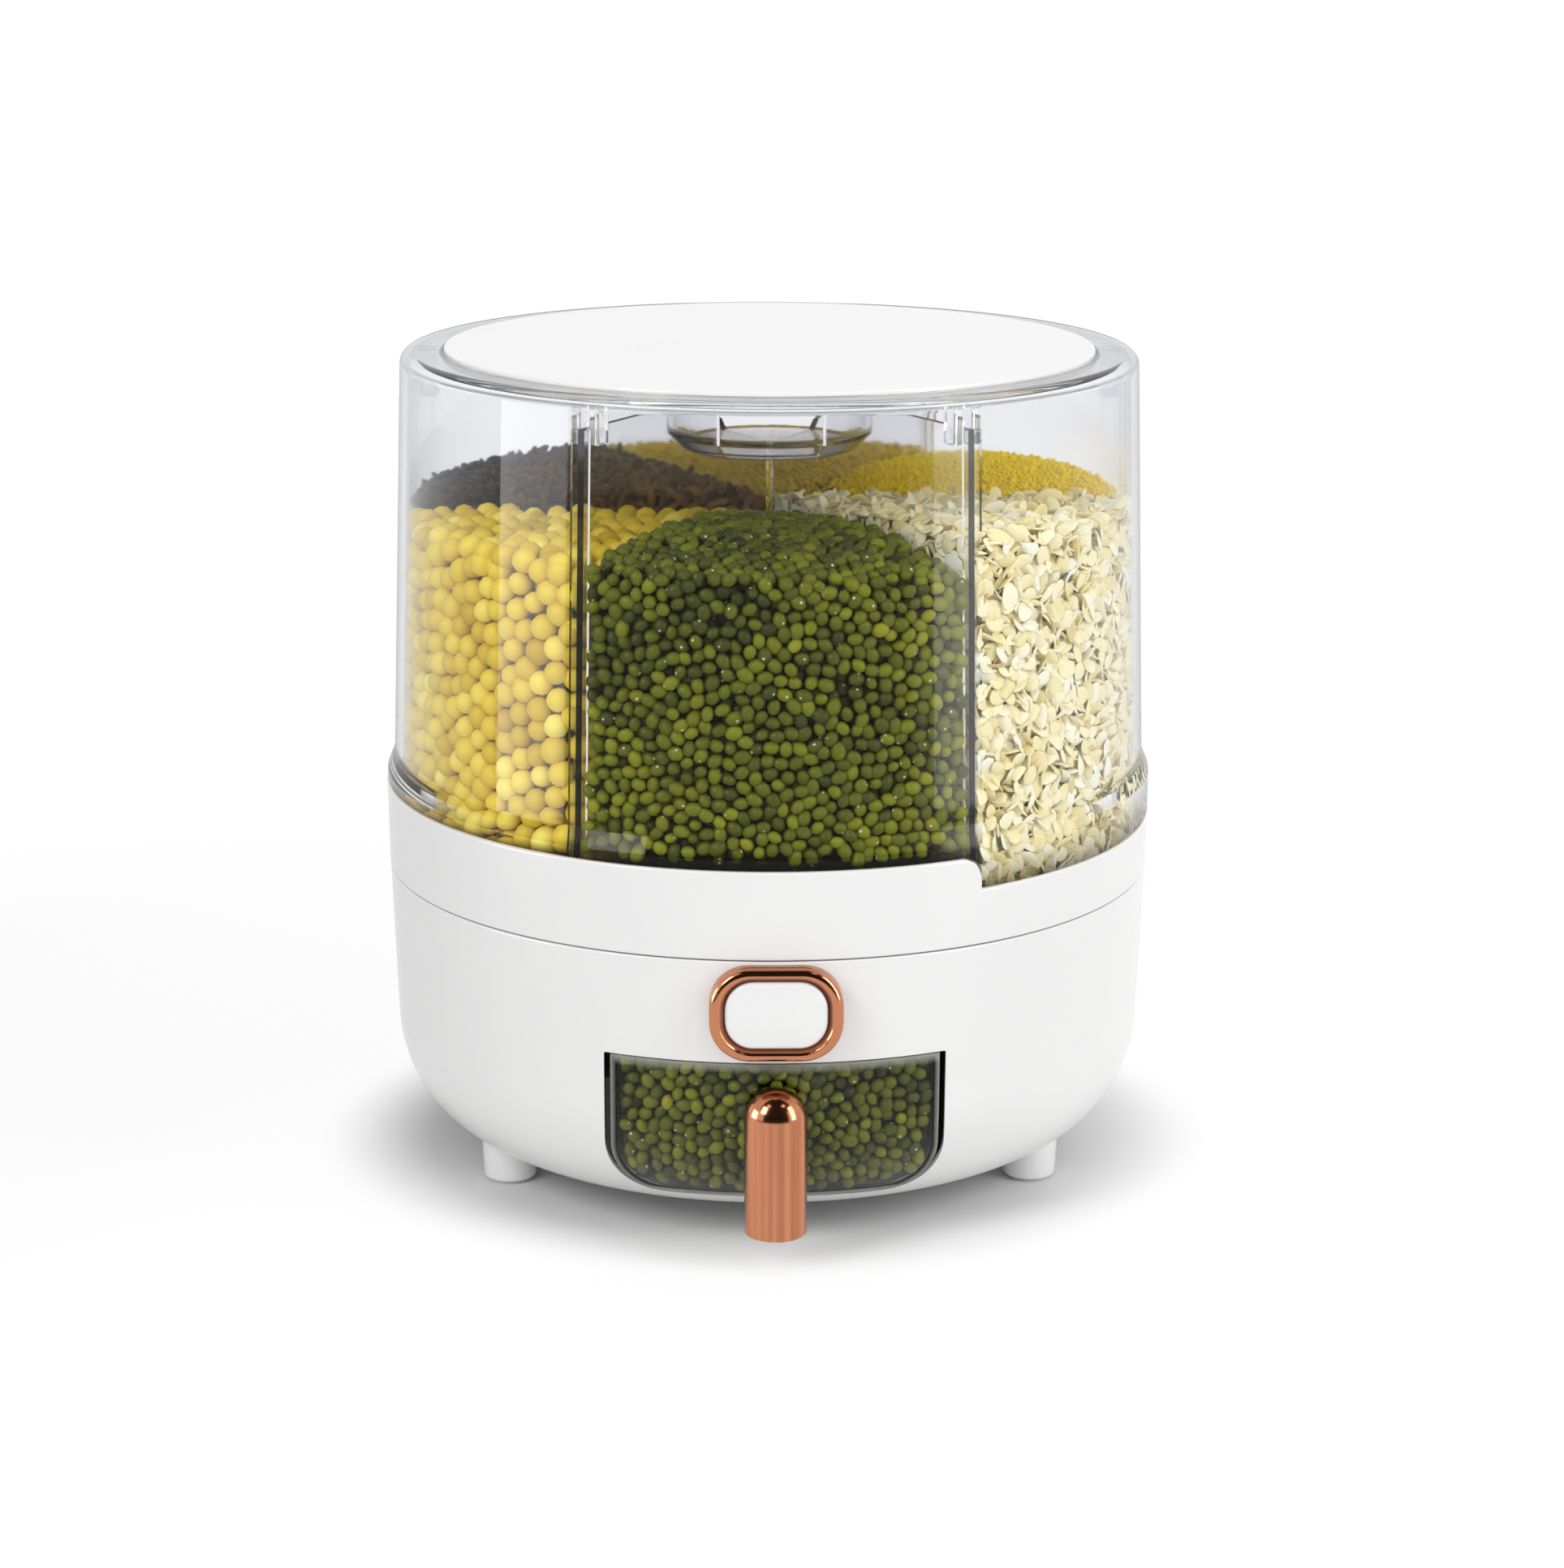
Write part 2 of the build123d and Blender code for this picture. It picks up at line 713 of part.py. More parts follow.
# Bezel: rounded ring on the tub's curved side, sloping in to a sleeve through the wall
button_open_w = button_w + 2 * slide_gap
button_open_h = button_h + 2 * slide_gap
button_open_r = button_corner_r + slide_gap
bezel_sleeve_back_y = -(tub_side(button_z) - tub_wall + seat_gap)
with BuildPart() as button_bezel:
    with BuildSketch(front_plane(button_back_y)):
        with Locations((0, button_z)):
            RectangleRounded(bezel_w, bezel_h, bezel_corner_r)
    extrude(amount=button_back_y - bezel_front_y)
    fillet(button_bezel.faces().sort_by(Axis.Y)[0].edges(), bezel_round_r)
    add(tub_form.part, mode=Mode.SUBTRACT)
    with BuildSketch(front_plane(bezel_sleeve_back_y)):
        with Locations((0, button_z)):
            RectangleRounded(
                button_open_w + 2 * bezel_sleeve,
                button_open_h + 2 * bezel_sleeve,
                button_open_r + bezel_sleeve,
            )
    extrude(amount=tub_wall + bezel_sleeve)
    with BuildSketch(front_plane(button_back_y)):
        with Locations((0, button_z)):
            RectangleRounded(button_open_w, button_open_h, button_open_r)
    extrude(amount=button_back_y - bezel_front_y, mode=Mode.SUBTRACT)
    bezel_face = button_bezel.faces().sort_by(Axis.Y)[0]
    chamfer(bezel_face.inner_wires().edges(), bezel_funnel)
button_bezel.part.label = "button_bezel"
export_step(button_bezel.part, "parts/button_bezel.step")

# Button cap: face, stop wings behind the tub wall, spring bore and tongue slot
stop_inner_r = tub_side(button_z - button_stop_h / 2) - tub_wall
stop_front_y = seat_gap - sqrt(stop_inner_r**2 - (button_w / 2 + button_stop_wing) ** 2)
with BuildPart() as button_cap:
    with BuildSketch(front_plane(button_back_y)):
        with Locations((0, button_z)):
            RectangleRounded(button_w, button_h, button_corner_r)
    extrude(amount=button_back_y - button_front_y)
    fillet(button_cap.faces().sort_by(Axis.Y)[0].edges(), button_edge_r)
    with BuildSketch(front_plane(stop_front_y + button_stop_t)):
        with Locations((0, button_z)):
            Rectangle(button_w + 2 * button_stop_wing, button_stop_h)
    extrude(amount=button_stop_t)
    with BuildSketch(front_plane(button_back_y)):
        with Locations((0, spring_z)):
            Circle(spring_bore_r)
    extrude(amount=button_back_y - spring_bore_end_y, mode=Mode.SUBTRACT)
    with BuildSketch(front_plane(button_back_y)):
        with Locations((0, shutter_z + shutter_t / 2)):
            Rectangle(2 * (tongue_half_w + seat_gap), shutter_t + 2 * seat_gap)
    extrude(
        amount=button_back_y - shutter_front_y + tongue_length + seat_gap,
        mode=Mode.SUBTRACT,
    )
    with BuildSketch(Plane.XY.offset(shutter_z - seat_gap)):
        with Locations((0, pin_y)):
            Circle(pin_r + screw_gap)
    extrude(amount=button_h, mode=Mode.SUBTRACT)
button_cap.part.label = "button_cap"
export_step(button_cap.part, "parts/button_cap.step")

# Shutter: plate with a window, and a tongue into the button
window_front_y = outlet_front_y - button_travel
window_back_y = outlet_back_y - button_travel
with BuildPart() as shutter:
    with BuildSketch(Plane.XY.offset(shutter_z)):
        with Locations((0, shutter_front_y)):
            Rectangle(
                2 * shutter_half_w,
                shutter_back_y - shutter_front_y,
                align=(Align.CENTER, Align.MIN),
            )
            Rectangle(
                2 * tongue_half_w,
                tongue_length,
                align=(Align.CENTER, Align.MAX),
            )
        with Locations((0, (window_front_y + window_back_y) / 2)):
            Rectangle(outlet_w, window_back_y - window_front_y, mode=Mode.SUBTRACT)
        with Locations((0, pin_y)):
            Circle(pin_r + screw_gap, mode=Mode.SUBTRACT)
    extrude(amount=shutter_t)
shutter.part.label = "shutter"
export_step(shutter.part, "parts/shutter.step")

# Pin that holds the tongue in the button
pin_top_z = button_z + button_h / 2 - screw_gap
with BuildPart() as button_pin:
    with BuildSketch(Plane.XY.offset(shutter_z - seat_gap)):
        with Locations((0, pin_y)):
            Circle(pin_r)
    extrude(amount=pin_top_z - shutter_z + seat_gap)
button_pin.part.label = "button_pin"
export_step(button_pin.part, "parts/button_pin.step")

# Return spring between the button's bore and the chute's front wall
spring_front_y = spring_bore_end_y + seat_gap + spring_wire_r
spring_back_y = chute_front_y - seat_gap - spring_wire_r
spring_length = spring_back_y - spring_front_y
with BuildPart() as return_spring:
    with BuildLine() as coil:
        Helix(
            pitch=spring_length / spring_turns,
            height=spring_length,
            radius=spring_r,
            center=(0, spring_front_y, spring_z),
            direction=(0, 1, 0),
        )
    with BuildSketch(Plane(origin=coil.line @ 0, z_dir=coil.line % 0)):
        Circle(spring_wire_r)
    sweep(path=coil.line, is_frenet=True)
return_spring.part.label = "return_spring"
export_step(return_spring.part, "parts/return_spring.step")

# Turntable: floor of the six compartments, each with an outlet
collar_screw_circle_r = collar_inner_r - collar_flange_w / 2
with BuildPart() as turntable:
    with BuildSketch(Plane.XY.offset(turntable_z)):
        Circle(turntable_r)
        with PolarLocations(outlet_r, compartments, start_angle=sector / 2):
            Rectangle(outlet_l, outlet_w, mode=Mode.SUBTRACT)
    extrude(amount=turntable_t)
    with Locations((0, 0, turntable_top_z)):
        Hole(bush_spigot_r + seat_gap)
    with BuildSketch(Plane.XY.offset(turntable_z)):
        with PolarLocations(collar_screw_circle_r, compartments):
            Circle(collar_screw_r + screw_gap)
    extrude(amount=small_screw_bite, mode=Mode.SUBTRACT)
turntable.part.label = "turntable"
export_step(turntable.part, "parts/turntable.step")

# Flanged bush in the turntable's middle, running on the spindle
with BuildPart() as hub_bush:
    with BuildSketch(Plane.XY.offset(turntable_z)):
        Circle(bush_spigot_r)
    extrude(amount=turntable_t)
    with BuildSketch(Plane.XY.offset(turntable_top_z)):
        Circle(hub_r)
    extrude(amount=hub_rise)
    with Locations((0, 0, hub_top_z)):
        Hole(spindle_r + spindle_fit)
hub_bush.part.label = "hub_bush"
export_step(hub_bush.part, "parts/hub_bush.step")

# Collar round the turntable, its lip raised over one half
with BuildPart() as turntable_collar:
    with BuildSketch(Plane.XZ):
        with BuildLine():
            Polyline(
                (collar_inner_r, collar_bottom_z),
                (collar_bottom_r, collar_bottom_z),
                (collar_top_r, collar_high_z),
                (collar_inner_r, collar_high_z),
                (collar_inner_r, turntable_z),
                (collar_inner_r - collar_flange_w, turntable_z),
                (collar_inner_r - collar_flange_w, turntable_z - collar_flange_t),
                (collar_inner_r, turntable_z - collar_flange_t),
                close=True,
            )
        make_face()
    revolve(axis=Axis.Z)
    with BuildSketch(Plane.XY.offset(collar_low_z)):
        add(half_plane(collar_step_angle + 90, 0))
    extrude(amount=2 * collar_step, mode=Mode.SUBTRACT)
    step_corners = (
        turntable_collar.edges()
        .filter_by(GeomType.LINE)
        .filter_by_position(Axis.Z, collar_high_z - 0.01, collar_high_z + 0.01)
    )
    fillet(step_corners, collar_corner_r)
    with BuildSketch(Plane.XY.offset(turntable_z)):
        with PolarLocations(collar_screw_circle_r, compartments):
            Circle(collar_screw_r + screw_gap)
    extrude(amount=-collar_flange_t, mode=Mode.SUBTRACT)
turntable_collar.part.label = "turntable_collar"
export_step(turntable_collar.part, "parts/turntable_collar.step")

# Screws up through the collar's flange into the turntable
with BuildPart(Plane.XY.offset(turntable_z - collar_flange_t)) as collar_screws:
    with PolarLocations(collar_screw_circle_r, compartments):
        Cylinder(
            collar_head_r,
            collar_head_h,
            align=(Align.CENTER, Align.CENTER, Align.MAX),
        )
        Cylinder(
            collar_screw_r,
            collar_flange_t + small_screw_bite - screw_gap,
            align=(Align.CENTER, Align.CENTER, Align.MIN),
        )
collar_screws.part.label = "collar_screws"
export_step(collar_screws.part, "parts/collar_screws.step")

# Gasket between the turntable and the drum's lower edge
with BuildPart() as drum_gasket:
    with BuildSketch(Plane.XY.offset(turntable_top_z)):
        Circle(drum_spigot_r)
        Circle(drum_spigot_inner_r, mode=Mode.SUBTRACT)
    extrude(amount=gasket_t)
drum_gasket.part.label = "drum_gasket"
export_step(drum_gasket.part, "parts/drum_gasket.step")

# Drum: drafted clear wall, stepped flange over the collar, top ring with the lid's seat
drum_shoulder_z = drum_top_z - drum_top_round_r
with BuildPart() as drum_shell:
    with BuildSketch(Plane.XZ):
        with BuildLine():
            outside = Polyline(
                (drum_spigot_inner_r, drum_bottom_z),
                (drum_spigot_r, drum_bottom_z),
                (drum_spigot_r, collar_low_z + seat_gap),
                (drum_flange_r, collar_low_z + seat_gap),
                (drum_flange_r, drum_flange_top_z),
                (drum_foot_r, drum_foot_z),
                (drum_shoulder_r, drum_shoulder_z),
            )
            shoulder = RadiusArc(
                outside @ 1,
                (drum_shoulder_r - drum_top_round_r, drum_top_z),
                -drum_top_round_r,
            )
            Polyline(
                shoulder @ 1,
                (lid_seat_r, drum_top_z),
                (lid_seat_r, lid_seat_z),
                (lid_opening_r, lid_seat_z),
                (lid_opening_r, neck_ring_z),
                (lid_opening_r + neck_ring_t, neck_ring_z),
                (lid_opening_r + neck_ring_t, drum_ceiling_z),
                (drum_inner(drum_ceiling_z), drum_ceiling_z),
                (drum_inner(drum_foot_z), drum_foot_z),
                (drum_spigot_inner_r, drum_bottom_z),
            )
        make_face()
    revolve(axis=Axis.Z)
    with BuildSketch(Plane.XY.offset(drum_bottom_z)):
        Circle(2 * drum_flange_r)
        Circle(drum_spigot_r, mode=Mode.SUBTRACT)
        add(half_plane(collar_step_angle - 90, -seat_gap), mode=Mode.INTERSECT)
    extrude(amount=collar_high_z + seat_gap - drum_bottom_z, mode=Mode.SUBTRACT)
    lug_offset = divider_t / 2 + drop_in_gap + lug_t / 2
    for step in range(compartments):
        for side in (-1, 1):
            with BuildSketch(radial_plane(step * sector).offset(side * lug_offset)):
                with Locations(((lug_inner_r + lug_outer_r) / 2, lug_bottom_z)):
                    Rectangle(
                        lug_outer_r - lug_inner_r,
                        drum_ceiling_z + drum_top_t / 2 - lug_bottom_z,
                        align=(Align.CENTER, Align.MIN),
                    )
            extrude(amount=lug_t / 2, both=True)
drum_shell.part.label = "drum_shell"
export_step(drum_shell.part, "parts/drum_shell.step")

# Dividers: thin web from the post to the wall, with a broad outer edge
web_inner_r = post_r + seat_gap
divider_z = turntable_top_z + slide_gap
divider_high_r = drum_inner(divider_top_z) - drop_in_gap
divider_foot_r = drum_spigot_inner_r - drop_in_gap
divider_knee_r = drum_inner(drum_foot_z) - drop_in_gap
cup_side_r = cup_r + seat_gap
cup_corner_z = cup_bottom_z + cup_r - cup_flat_r
for step in range(compartments):
    with BuildPart() as divider:
        with BuildSketch(radial_plane(step * sector)):
            with BuildLine():
                Polyline(
                    (post_foot_r + seat_gap, divider_z),
                    (divider_foot_r, divider_z),
                    (divider_knee_r, drum_foot_z),
                    (divider_high_r, divider_top_z),
                    (cup_side_r, divider_top_z),
                    (cup_side_r, cup_corner_z - seat_gap),
                    (cup_flat_r, cup_bottom_z - seat_gap),
                    (web_inner_r, cup_bottom_z - seat_gap),
                    (web_inner_r, post_foot_top_z + seat_gap),
                    (post_foot_r + seat_gap, post_foot_top_z + seat_gap),
                    close=True,
                )
            make_face()
        extrude(amount=divider_t / 2, both=True)
        with BuildSketch(radial_plane(step * sector)):
            with BuildLine():
                Polyline(
                    (divider_foot_r - divider_edge_t, divider_z),
                    (divider_foot_r, divider_z),
                    (divider_knee_r, drum_foot_z),
                    (divider_high_r, divider_top_z),
                    (divider_high_r - divider_edge_t, divider_top_z),
                    (divider_knee_r - divider_edge_t, drum_foot_z),
                    close=True,
                )
            make_face()
        extrude(amount=divider_edge_w / 2, both=True)
    divider.part.label = f"divider_{step + 1}"
    export_step(divider.part, f"parts/divider_{step + 1}.step")

# Centre post: hollow foot over the hub and a slim stem between the dividers' inner edges
with BuildPart() as centre_post:
    with BuildSketch(Plane.XY.offset(turntable_top_z)):
        Circle(post_foot_r)
    extrude(amount=post_foot_top_z - turntable_top_z)
    with BuildSketch(Plane.XY.offset(turntable_top_z)):
        Circle(hub_r + drop_in_gap)
    extrude(amount=post_foot_ceiling_z - turntable_top_z, mode=Mode.SUBTRACT)
    with BuildSketch(Plane.XY.offset(post_foot_top_z)):
        Circle(post_r)
    extrude(amount=post_top_z - post_foot_top_z)
centre_post.part.label = "centre_post"
export_step(centre_post.part, "parts/centre_post.step")

# Hub cup, dropped into the dividers' notches
with BuildPart() as hub_cup:
    with BuildSketch(Plane.XZ):
        with BuildLine():
            Polyline(
                (0, cup_bottom_z),
                (cup_flat_r, cup_bottom_z),
                (cup_r, cup_corner_z),
                (cup_r, cup_top_z),
                (cup_r - cup_wall, cup_top_z),
                (cup_r - cup_wall, cup_corner_z + cup_wall / 2),
                (cup_flat_r - cup_wall / 2, cup_bottom_z + cup_wall),
                (0, cup_bottom_z + cup_wall),
                close=True,
            )
        make_face()
    revolve(axis=Axis.Z)
hub_cup.part.label = "hub_cup"
export_step(hub_cup.part, "parts/hub_cup.step")

# Lid: flat disc in the drum's seat with a short plug ring below
with BuildPart() as lid_panel:
    with BuildSketch(Plane.XY.offset(lid_z)):
        Circle(lid_r)
    extrude(amount=lid_rim_t)
    fillet(lid_panel.faces().sort_by(Axis.Z)[-1].edges(), lid_edge_r)
    with BuildSketch(Plane.XY.offset(lid_plug_bottom_z)):
        Circle(lid_plug_r)
        Circle(lid_plug_r - lid_plug_wall, mode=Mode.SUBTRACT)
    extrude(amount=lid_z - lid_plug_bottom_z)
lid_panel.part.label = "lid_panel"
export_step(lid_panel.part, "parts/lid_panel.step")

# Soft seal round the lid's plug
with BuildPart() as lid_seal:
    with BuildSketch(Plane.XY.offset(lid_plug_bottom_z)):
        Circle(lid_plug_r + lid_seal_t)
        Circle(lid_plug_r, mode=Mode.SUBTRACT)
    extrude(amount=lid_seal_h)
lid_seal.part.label = "lid_seal"
export_step(lid_seal.part, "parts/lid_seal.step")

# Space inside the drawer, open at the top
with BuildPart() as drawer_space:
    hollow = drawer_outline(
        drawer_half_w - drawer_wall,
        drawer_z + drawer_wall,
        tub_rim_z,
        drawer_corner_r - drawer_wall,
        drawer_back_y - drawer_wall,
    )
    extrude(hollow, amount=tub_rim_r)
    add(tub_inner_form.part, mode=Mode.INTERSECT)

# Drawer: clear box whose front is a piece of the tub's own surface
boss_back_y = -(tub_outer(handle_screw_low_z) - drawer_wall - handle_boss_t)
with BuildPart() as drawer_box:
    body = drawer_outline(
        drawer_half_w, drawer_z, drawer_top_z, drawer_corner_r, drawer_back_y
    )
    extrude(body, amount=tub_rim_r)
    add(drawer_space.part, mode=Mode.SUBTRACT)
    with BuildSketch(front_plane(boss_back_y)):
        with Locations((0, (handle_screw_low_z + handle_screw_high_z) / 2)):
            Rectangle(
                handle_boss_w,
                handle_screw_high_z - handle_screw_low_z + handle_boss_w / 2,
            )
    extrude(amount=tub_rim_r)
    add(tub_form.part, mode=Mode.INTERSECT)
    with BuildSketch(front_plane(boss_back_y)):
        with Locations((0, handle_screw_low_z), (0, handle_screw_high_z)):
            Circle(handle_screw_r + screw_gap)
    extrude(amount=tub_rim_r, mode=Mode.SUBTRACT)
drawer_box.part.label = "drawer_box"
export_step(drawer_box.part, "parts/drawer_box.step")

# Handle: half-round bar with a domed top, on a neck that meets the drawer's front
handle_dome_z = handle_top_z - handle_r
with BuildPart() as drawer_handle:
    with BuildSketch(Plane.XY.offset(handle_bottom_z)):
        with Locations((0, handle_back_y)):
            Circle(handle_r)
    extrude(amount=handle_dome_z - handle_bottom_z)
    with Locations((0, handle_back_y, handle_dome_z)):
        Sphere(handle_r)
    split(bisect_by=front_plane(handle_back_y), keep=Keep.TOP)
    with BuildSketch(front_plane(boss_back_y)):
        with Locations((0, neck_bottom_z)):
            Rectangle(neck_w, neck_top_z - neck_bottom_z, align=(Align.CENTER, Align.MIN))
    extrude(amount=boss_back_y - handle_back_y)
    add(tub_form.part, mode=Mode.SUBTRACT)
    with BuildSketch(front_plane(boss_back_y)):
        with Locations((0, handle_screw_low_z), (0, handle_screw_high_z)):
            Circle(handle_screw_r + screw_gap)
    extrude(amount=boss_back_y - handle_back_y + handle_screw_bite, mode=Mode.SUBTRACT)
    fillet(drawer_handle.faces().sort_by(Axis.Z)[0].edges(), handle_edge_r)
drawer_handle.part.label = "drawer_handle"
export_step(drawer_handle.part, "parts/drawer_handle.step")

# Screws from inside the drawer into the handle
with BuildPart(front_plane(boss_back_y)) as handle_screws:
    with Locations((0, handle_screw_low_z), (0, handle_screw_high_z)):
        Cylinder(
            small_head_r,
            small_head_h,
            align=(Align.CENTER, Align.CENTER, Align.MAX),
        )
        Cylinder(
            handle_screw_r,
            boss_back_y - handle_back_y + handle_screw_bite - screw_gap,
            align=(Align.CENTER, Align.CENTER, Align.MIN),
        )
handle_screws.part.label = "handle_screws"
export_step(handle_screws.part, "parts/handle_screws.step")
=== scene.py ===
import json
import math

import bmesh
import bpy
import numpy as np
from mathutils import Matrix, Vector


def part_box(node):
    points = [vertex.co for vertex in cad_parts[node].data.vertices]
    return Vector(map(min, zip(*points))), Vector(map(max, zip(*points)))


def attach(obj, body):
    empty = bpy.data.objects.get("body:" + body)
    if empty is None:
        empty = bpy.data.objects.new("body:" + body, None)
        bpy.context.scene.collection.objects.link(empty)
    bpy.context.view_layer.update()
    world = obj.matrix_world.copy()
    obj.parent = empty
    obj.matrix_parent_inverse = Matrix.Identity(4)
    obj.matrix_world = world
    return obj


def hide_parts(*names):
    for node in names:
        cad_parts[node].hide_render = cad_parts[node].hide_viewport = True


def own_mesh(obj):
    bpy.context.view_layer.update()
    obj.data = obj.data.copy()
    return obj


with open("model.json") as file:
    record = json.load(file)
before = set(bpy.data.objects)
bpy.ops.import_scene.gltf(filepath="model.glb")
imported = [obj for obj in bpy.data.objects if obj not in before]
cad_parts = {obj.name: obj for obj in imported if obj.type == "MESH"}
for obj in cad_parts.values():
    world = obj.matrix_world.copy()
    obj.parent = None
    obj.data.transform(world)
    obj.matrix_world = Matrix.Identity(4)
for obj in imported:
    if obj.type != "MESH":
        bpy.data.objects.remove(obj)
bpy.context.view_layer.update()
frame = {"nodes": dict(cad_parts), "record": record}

mm = 0.001
random = np.random.default_rng(2711)
nodes = frame["nodes"]
print("frame loaded:", len(nodes), "nodes")


# A grid of points (rows, columns, 3) becomes vertices and quads; either direction may close on itself.
def gridSurface(points, closeRows=False, closeColumns=False):
    rows, columns = points.shape[:2]
    index = np.arange(rows * columns).reshape(rows, columns)
    if closeRows:
        index = np.vstack([index, index[:1]])
    if closeColumns:
        index = np.hstack([index, index[:, :1]])
    quads = np.stack([index[:-1, :-1], index[:-1, 1:], index[1:, 1:], index[1:, :-1]], -1)
    return points.reshape(-1, 3), quads.reshape(-1, 4)


# Several surfaces put after each other, with the later ones' indices moved on.
def joinSurfaces(*surfaces):
    counts = np.cumsum([0] + [len(v) for v, q in surfaces])
    quads = [q + start for (v, q), start in zip(surfaces, counts)]
    return np.concatenate([v for v, q in surfaces]), np.concatenate(quads)


# Three arrays, spread to one shape, become points.
def grid(x, y, z):
    return np.stack(np.broadcast_arrays(x, y, z), -1)


# Radii and heights carried round the axis through angles.
def carried(r, z, angles):
    return grid(r * np.cos(angles), r * np.sin(angles), z)


# From u outward and v across to the object's own x and y: turned about the axis by an angle in degrees.
def turnedOut(u, v, z, angle):
    a = math.radians(angle)
    return grid(u * math.cos(a) - v * math.sin(a), u * math.sin(a) + v * math.cos(a), z)


# Corners become arcs: each arc ends radius / tan(half the corner's angle) from the corner on both edges,
# and a support point a little further along each edge keeps the flats flat under smooth shading.
def roundedPath(corners, radii, steps=5, support=0.25 * mm, arcShare=0.45, supportShare=0.04):
    corners = np.asarray(corners, float)
    radii = np.broadcast_to(np.asarray(radii, float), len(corners))
    back = np.roll(corners, 1, 0) - corners
    ahead = np.roll(corners, -1, 0) - corners
    backLength = np.linalg.norm(back, axis=1)
    aheadLength = np.linalg.norm(ahead, axis=1)
    back = back / backLength[:, None]
    ahead = ahead / aheadLength[:, None]
    angle = np.arccos(np.clip((back * ahead).sum(1), -0.999999, 0.999999))
    shorter = np.minimum(backLength, aheadLength)
    reach = np.minimum(radii / np.tan(angle / 2), arcShare * shorter)
    radius = reach * np.tan(angle / 2)
    middle = back + ahead
    middle = middle / np.linalg.norm(middle, axis=1)[:, None]
    centre = corners + middle * (radius / np.sin(angle / 2))[:, None]
    first = corners + back * reach[:, None] - centre
    last = corners + ahead * reach[:, None] - centre
    start = np.arctan2(first[:, 1], first[:, 0])
    turn = np.arctan2(last[:, 1], last[:, 0]) - start
    turn = (turn + np.pi) % (2 * np.pi) - np.pi
    sweep = start[:, None] + turn[:, None] * np.linspace(0, 1, steps + 1)
    arcs = centre[:, None] + radius[:, None, None] * np.stack([np.cos(sweep), np.sin(sweep)], -1)
    spare = np.minimum(support, supportShare * shorter)
    before = corners + back * (reach + spare)[:, None]
    after = corners + ahead * (reach + spare)[:, None]
    return np.concatenate([before[:, None], arcs, after[:, None]], 1).reshape(-1, 2)


# A profile of radius and height carried round the axis.
def lathe(profile, turns):
    angles = np.linspace(0, 2 * np.pi, turns, endpoint=False)
    return gridSurface(carried(profile[:, :1], profile[:, 1:], angles), closeColumns=True)


# Vertices and faces go into a mesh object at the origin; doubles at seams and poles are merged and faces
# turned out.
def meshObject(name, surface, sharp=35.0, mergeAt=2e-7):
    vertices, quads = surface
    mesh = bpy.data.meshes.new(name)
    mesh.vertices.add(len(vertices))
    mesh.vertices.foreach_set("co", np.ascontiguousarray(vertices, np.float32).ravel())
    mesh.loops.add(quads.size)
    mesh.loops.foreach_set("vertex_index", np.ascontiguousarray(quads, np.int32).ravel())
    mesh.polygons.add(len(quads))
    mesh.polygons.foreach_set("loop_start", np.arange(0, quads.size, quads.shape[1], dtype=np.int32))
    mesh.update(calc_edges=True)
    work = bmesh.new()
    work.from_mesh(mesh)
    bmesh.ops.remove_doubles(work, verts=work.verts, dist=mergeAt)
    bmesh.ops.recalc_face_normals(work, faces=work.faces)
    work.to_mesh(mesh)
    work.free()
    mesh.shade_smooth()
    if sharp:
        mesh.set_sharp_from_angle(angle=math.radians(sharp))
    thing = bpy.data.objects.new(name, mesh)
    bpy.context.scene.collection.objects.link(thing)
    return thing


# Modifiers on a piece are worked in, so that its mesh is final.
def workIn(thing, sharp=35.0):
    bpy.context.view_layer.update()
    seen = thing.evaluated_get(bpy.context.evaluated_depsgraph_get())
    mesh = bpy.data.meshes.new_from_object(seen)
    thing.modifiers.clear()
    thing.data = mesh
    mesh.shade_smooth()
    mesh.set_sharp_from_angle(angle=math.radians(sharp))


# The places of a piece's points, as its mesh holds them.
def pointsOf(thing):
    points = np.empty(3 * len(thing.data.vertices), np.float32)
    thing.data.vertices.foreach_get("co", points)
    return points.reshape(-1, 3)


# One value for each point of a piece, for its material to read.
def markPoints(thing, name, values):
    mark = thing.data.attributes.new(name, "FLOAT", "POINT")
    mark.data.foreach_set("value", values.astype(np.float32))
    return thing


# A piece takes its material, its body and the nodes that it stands for; the record's slot is not used.
def fitPiece(thing, material, body, slot, *stoodFor):
    thing.data.materials.clear()
    thing.data.materials.append(material)
    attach(thing, body)
    if stoodFor:
        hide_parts(*stoodFor)
    return thing


# A new material with its tree and its shader.
def newMaterial(name):
    material = bpy.data.materials.new(name)
    material.use_nodes = True
    tree = material.node_tree
    return material, tree, tree.nodes["Principled BSDF"]


# Values go to a node's own sockets, by name or number.
def setInputs(node, values):
    for key, value in dict(values).items():
        node.inputs[key].default_value = value


# A shader node of a kind, with its settings and then its socket values.
def newNode(tree, kind, inputs=(), **settings):
    node = tree.nodes.new("ShaderNode" + kind)
    for key, value in settings.items():
        setattr(node, key, value)
    setInputs(node, inputs)
    return node


# One node's output goes to another's input, in the tree that holds both.
def link(source, output, target, entry):
    target.id_data.links.new(source.outputs[output], target.inputs[entry])


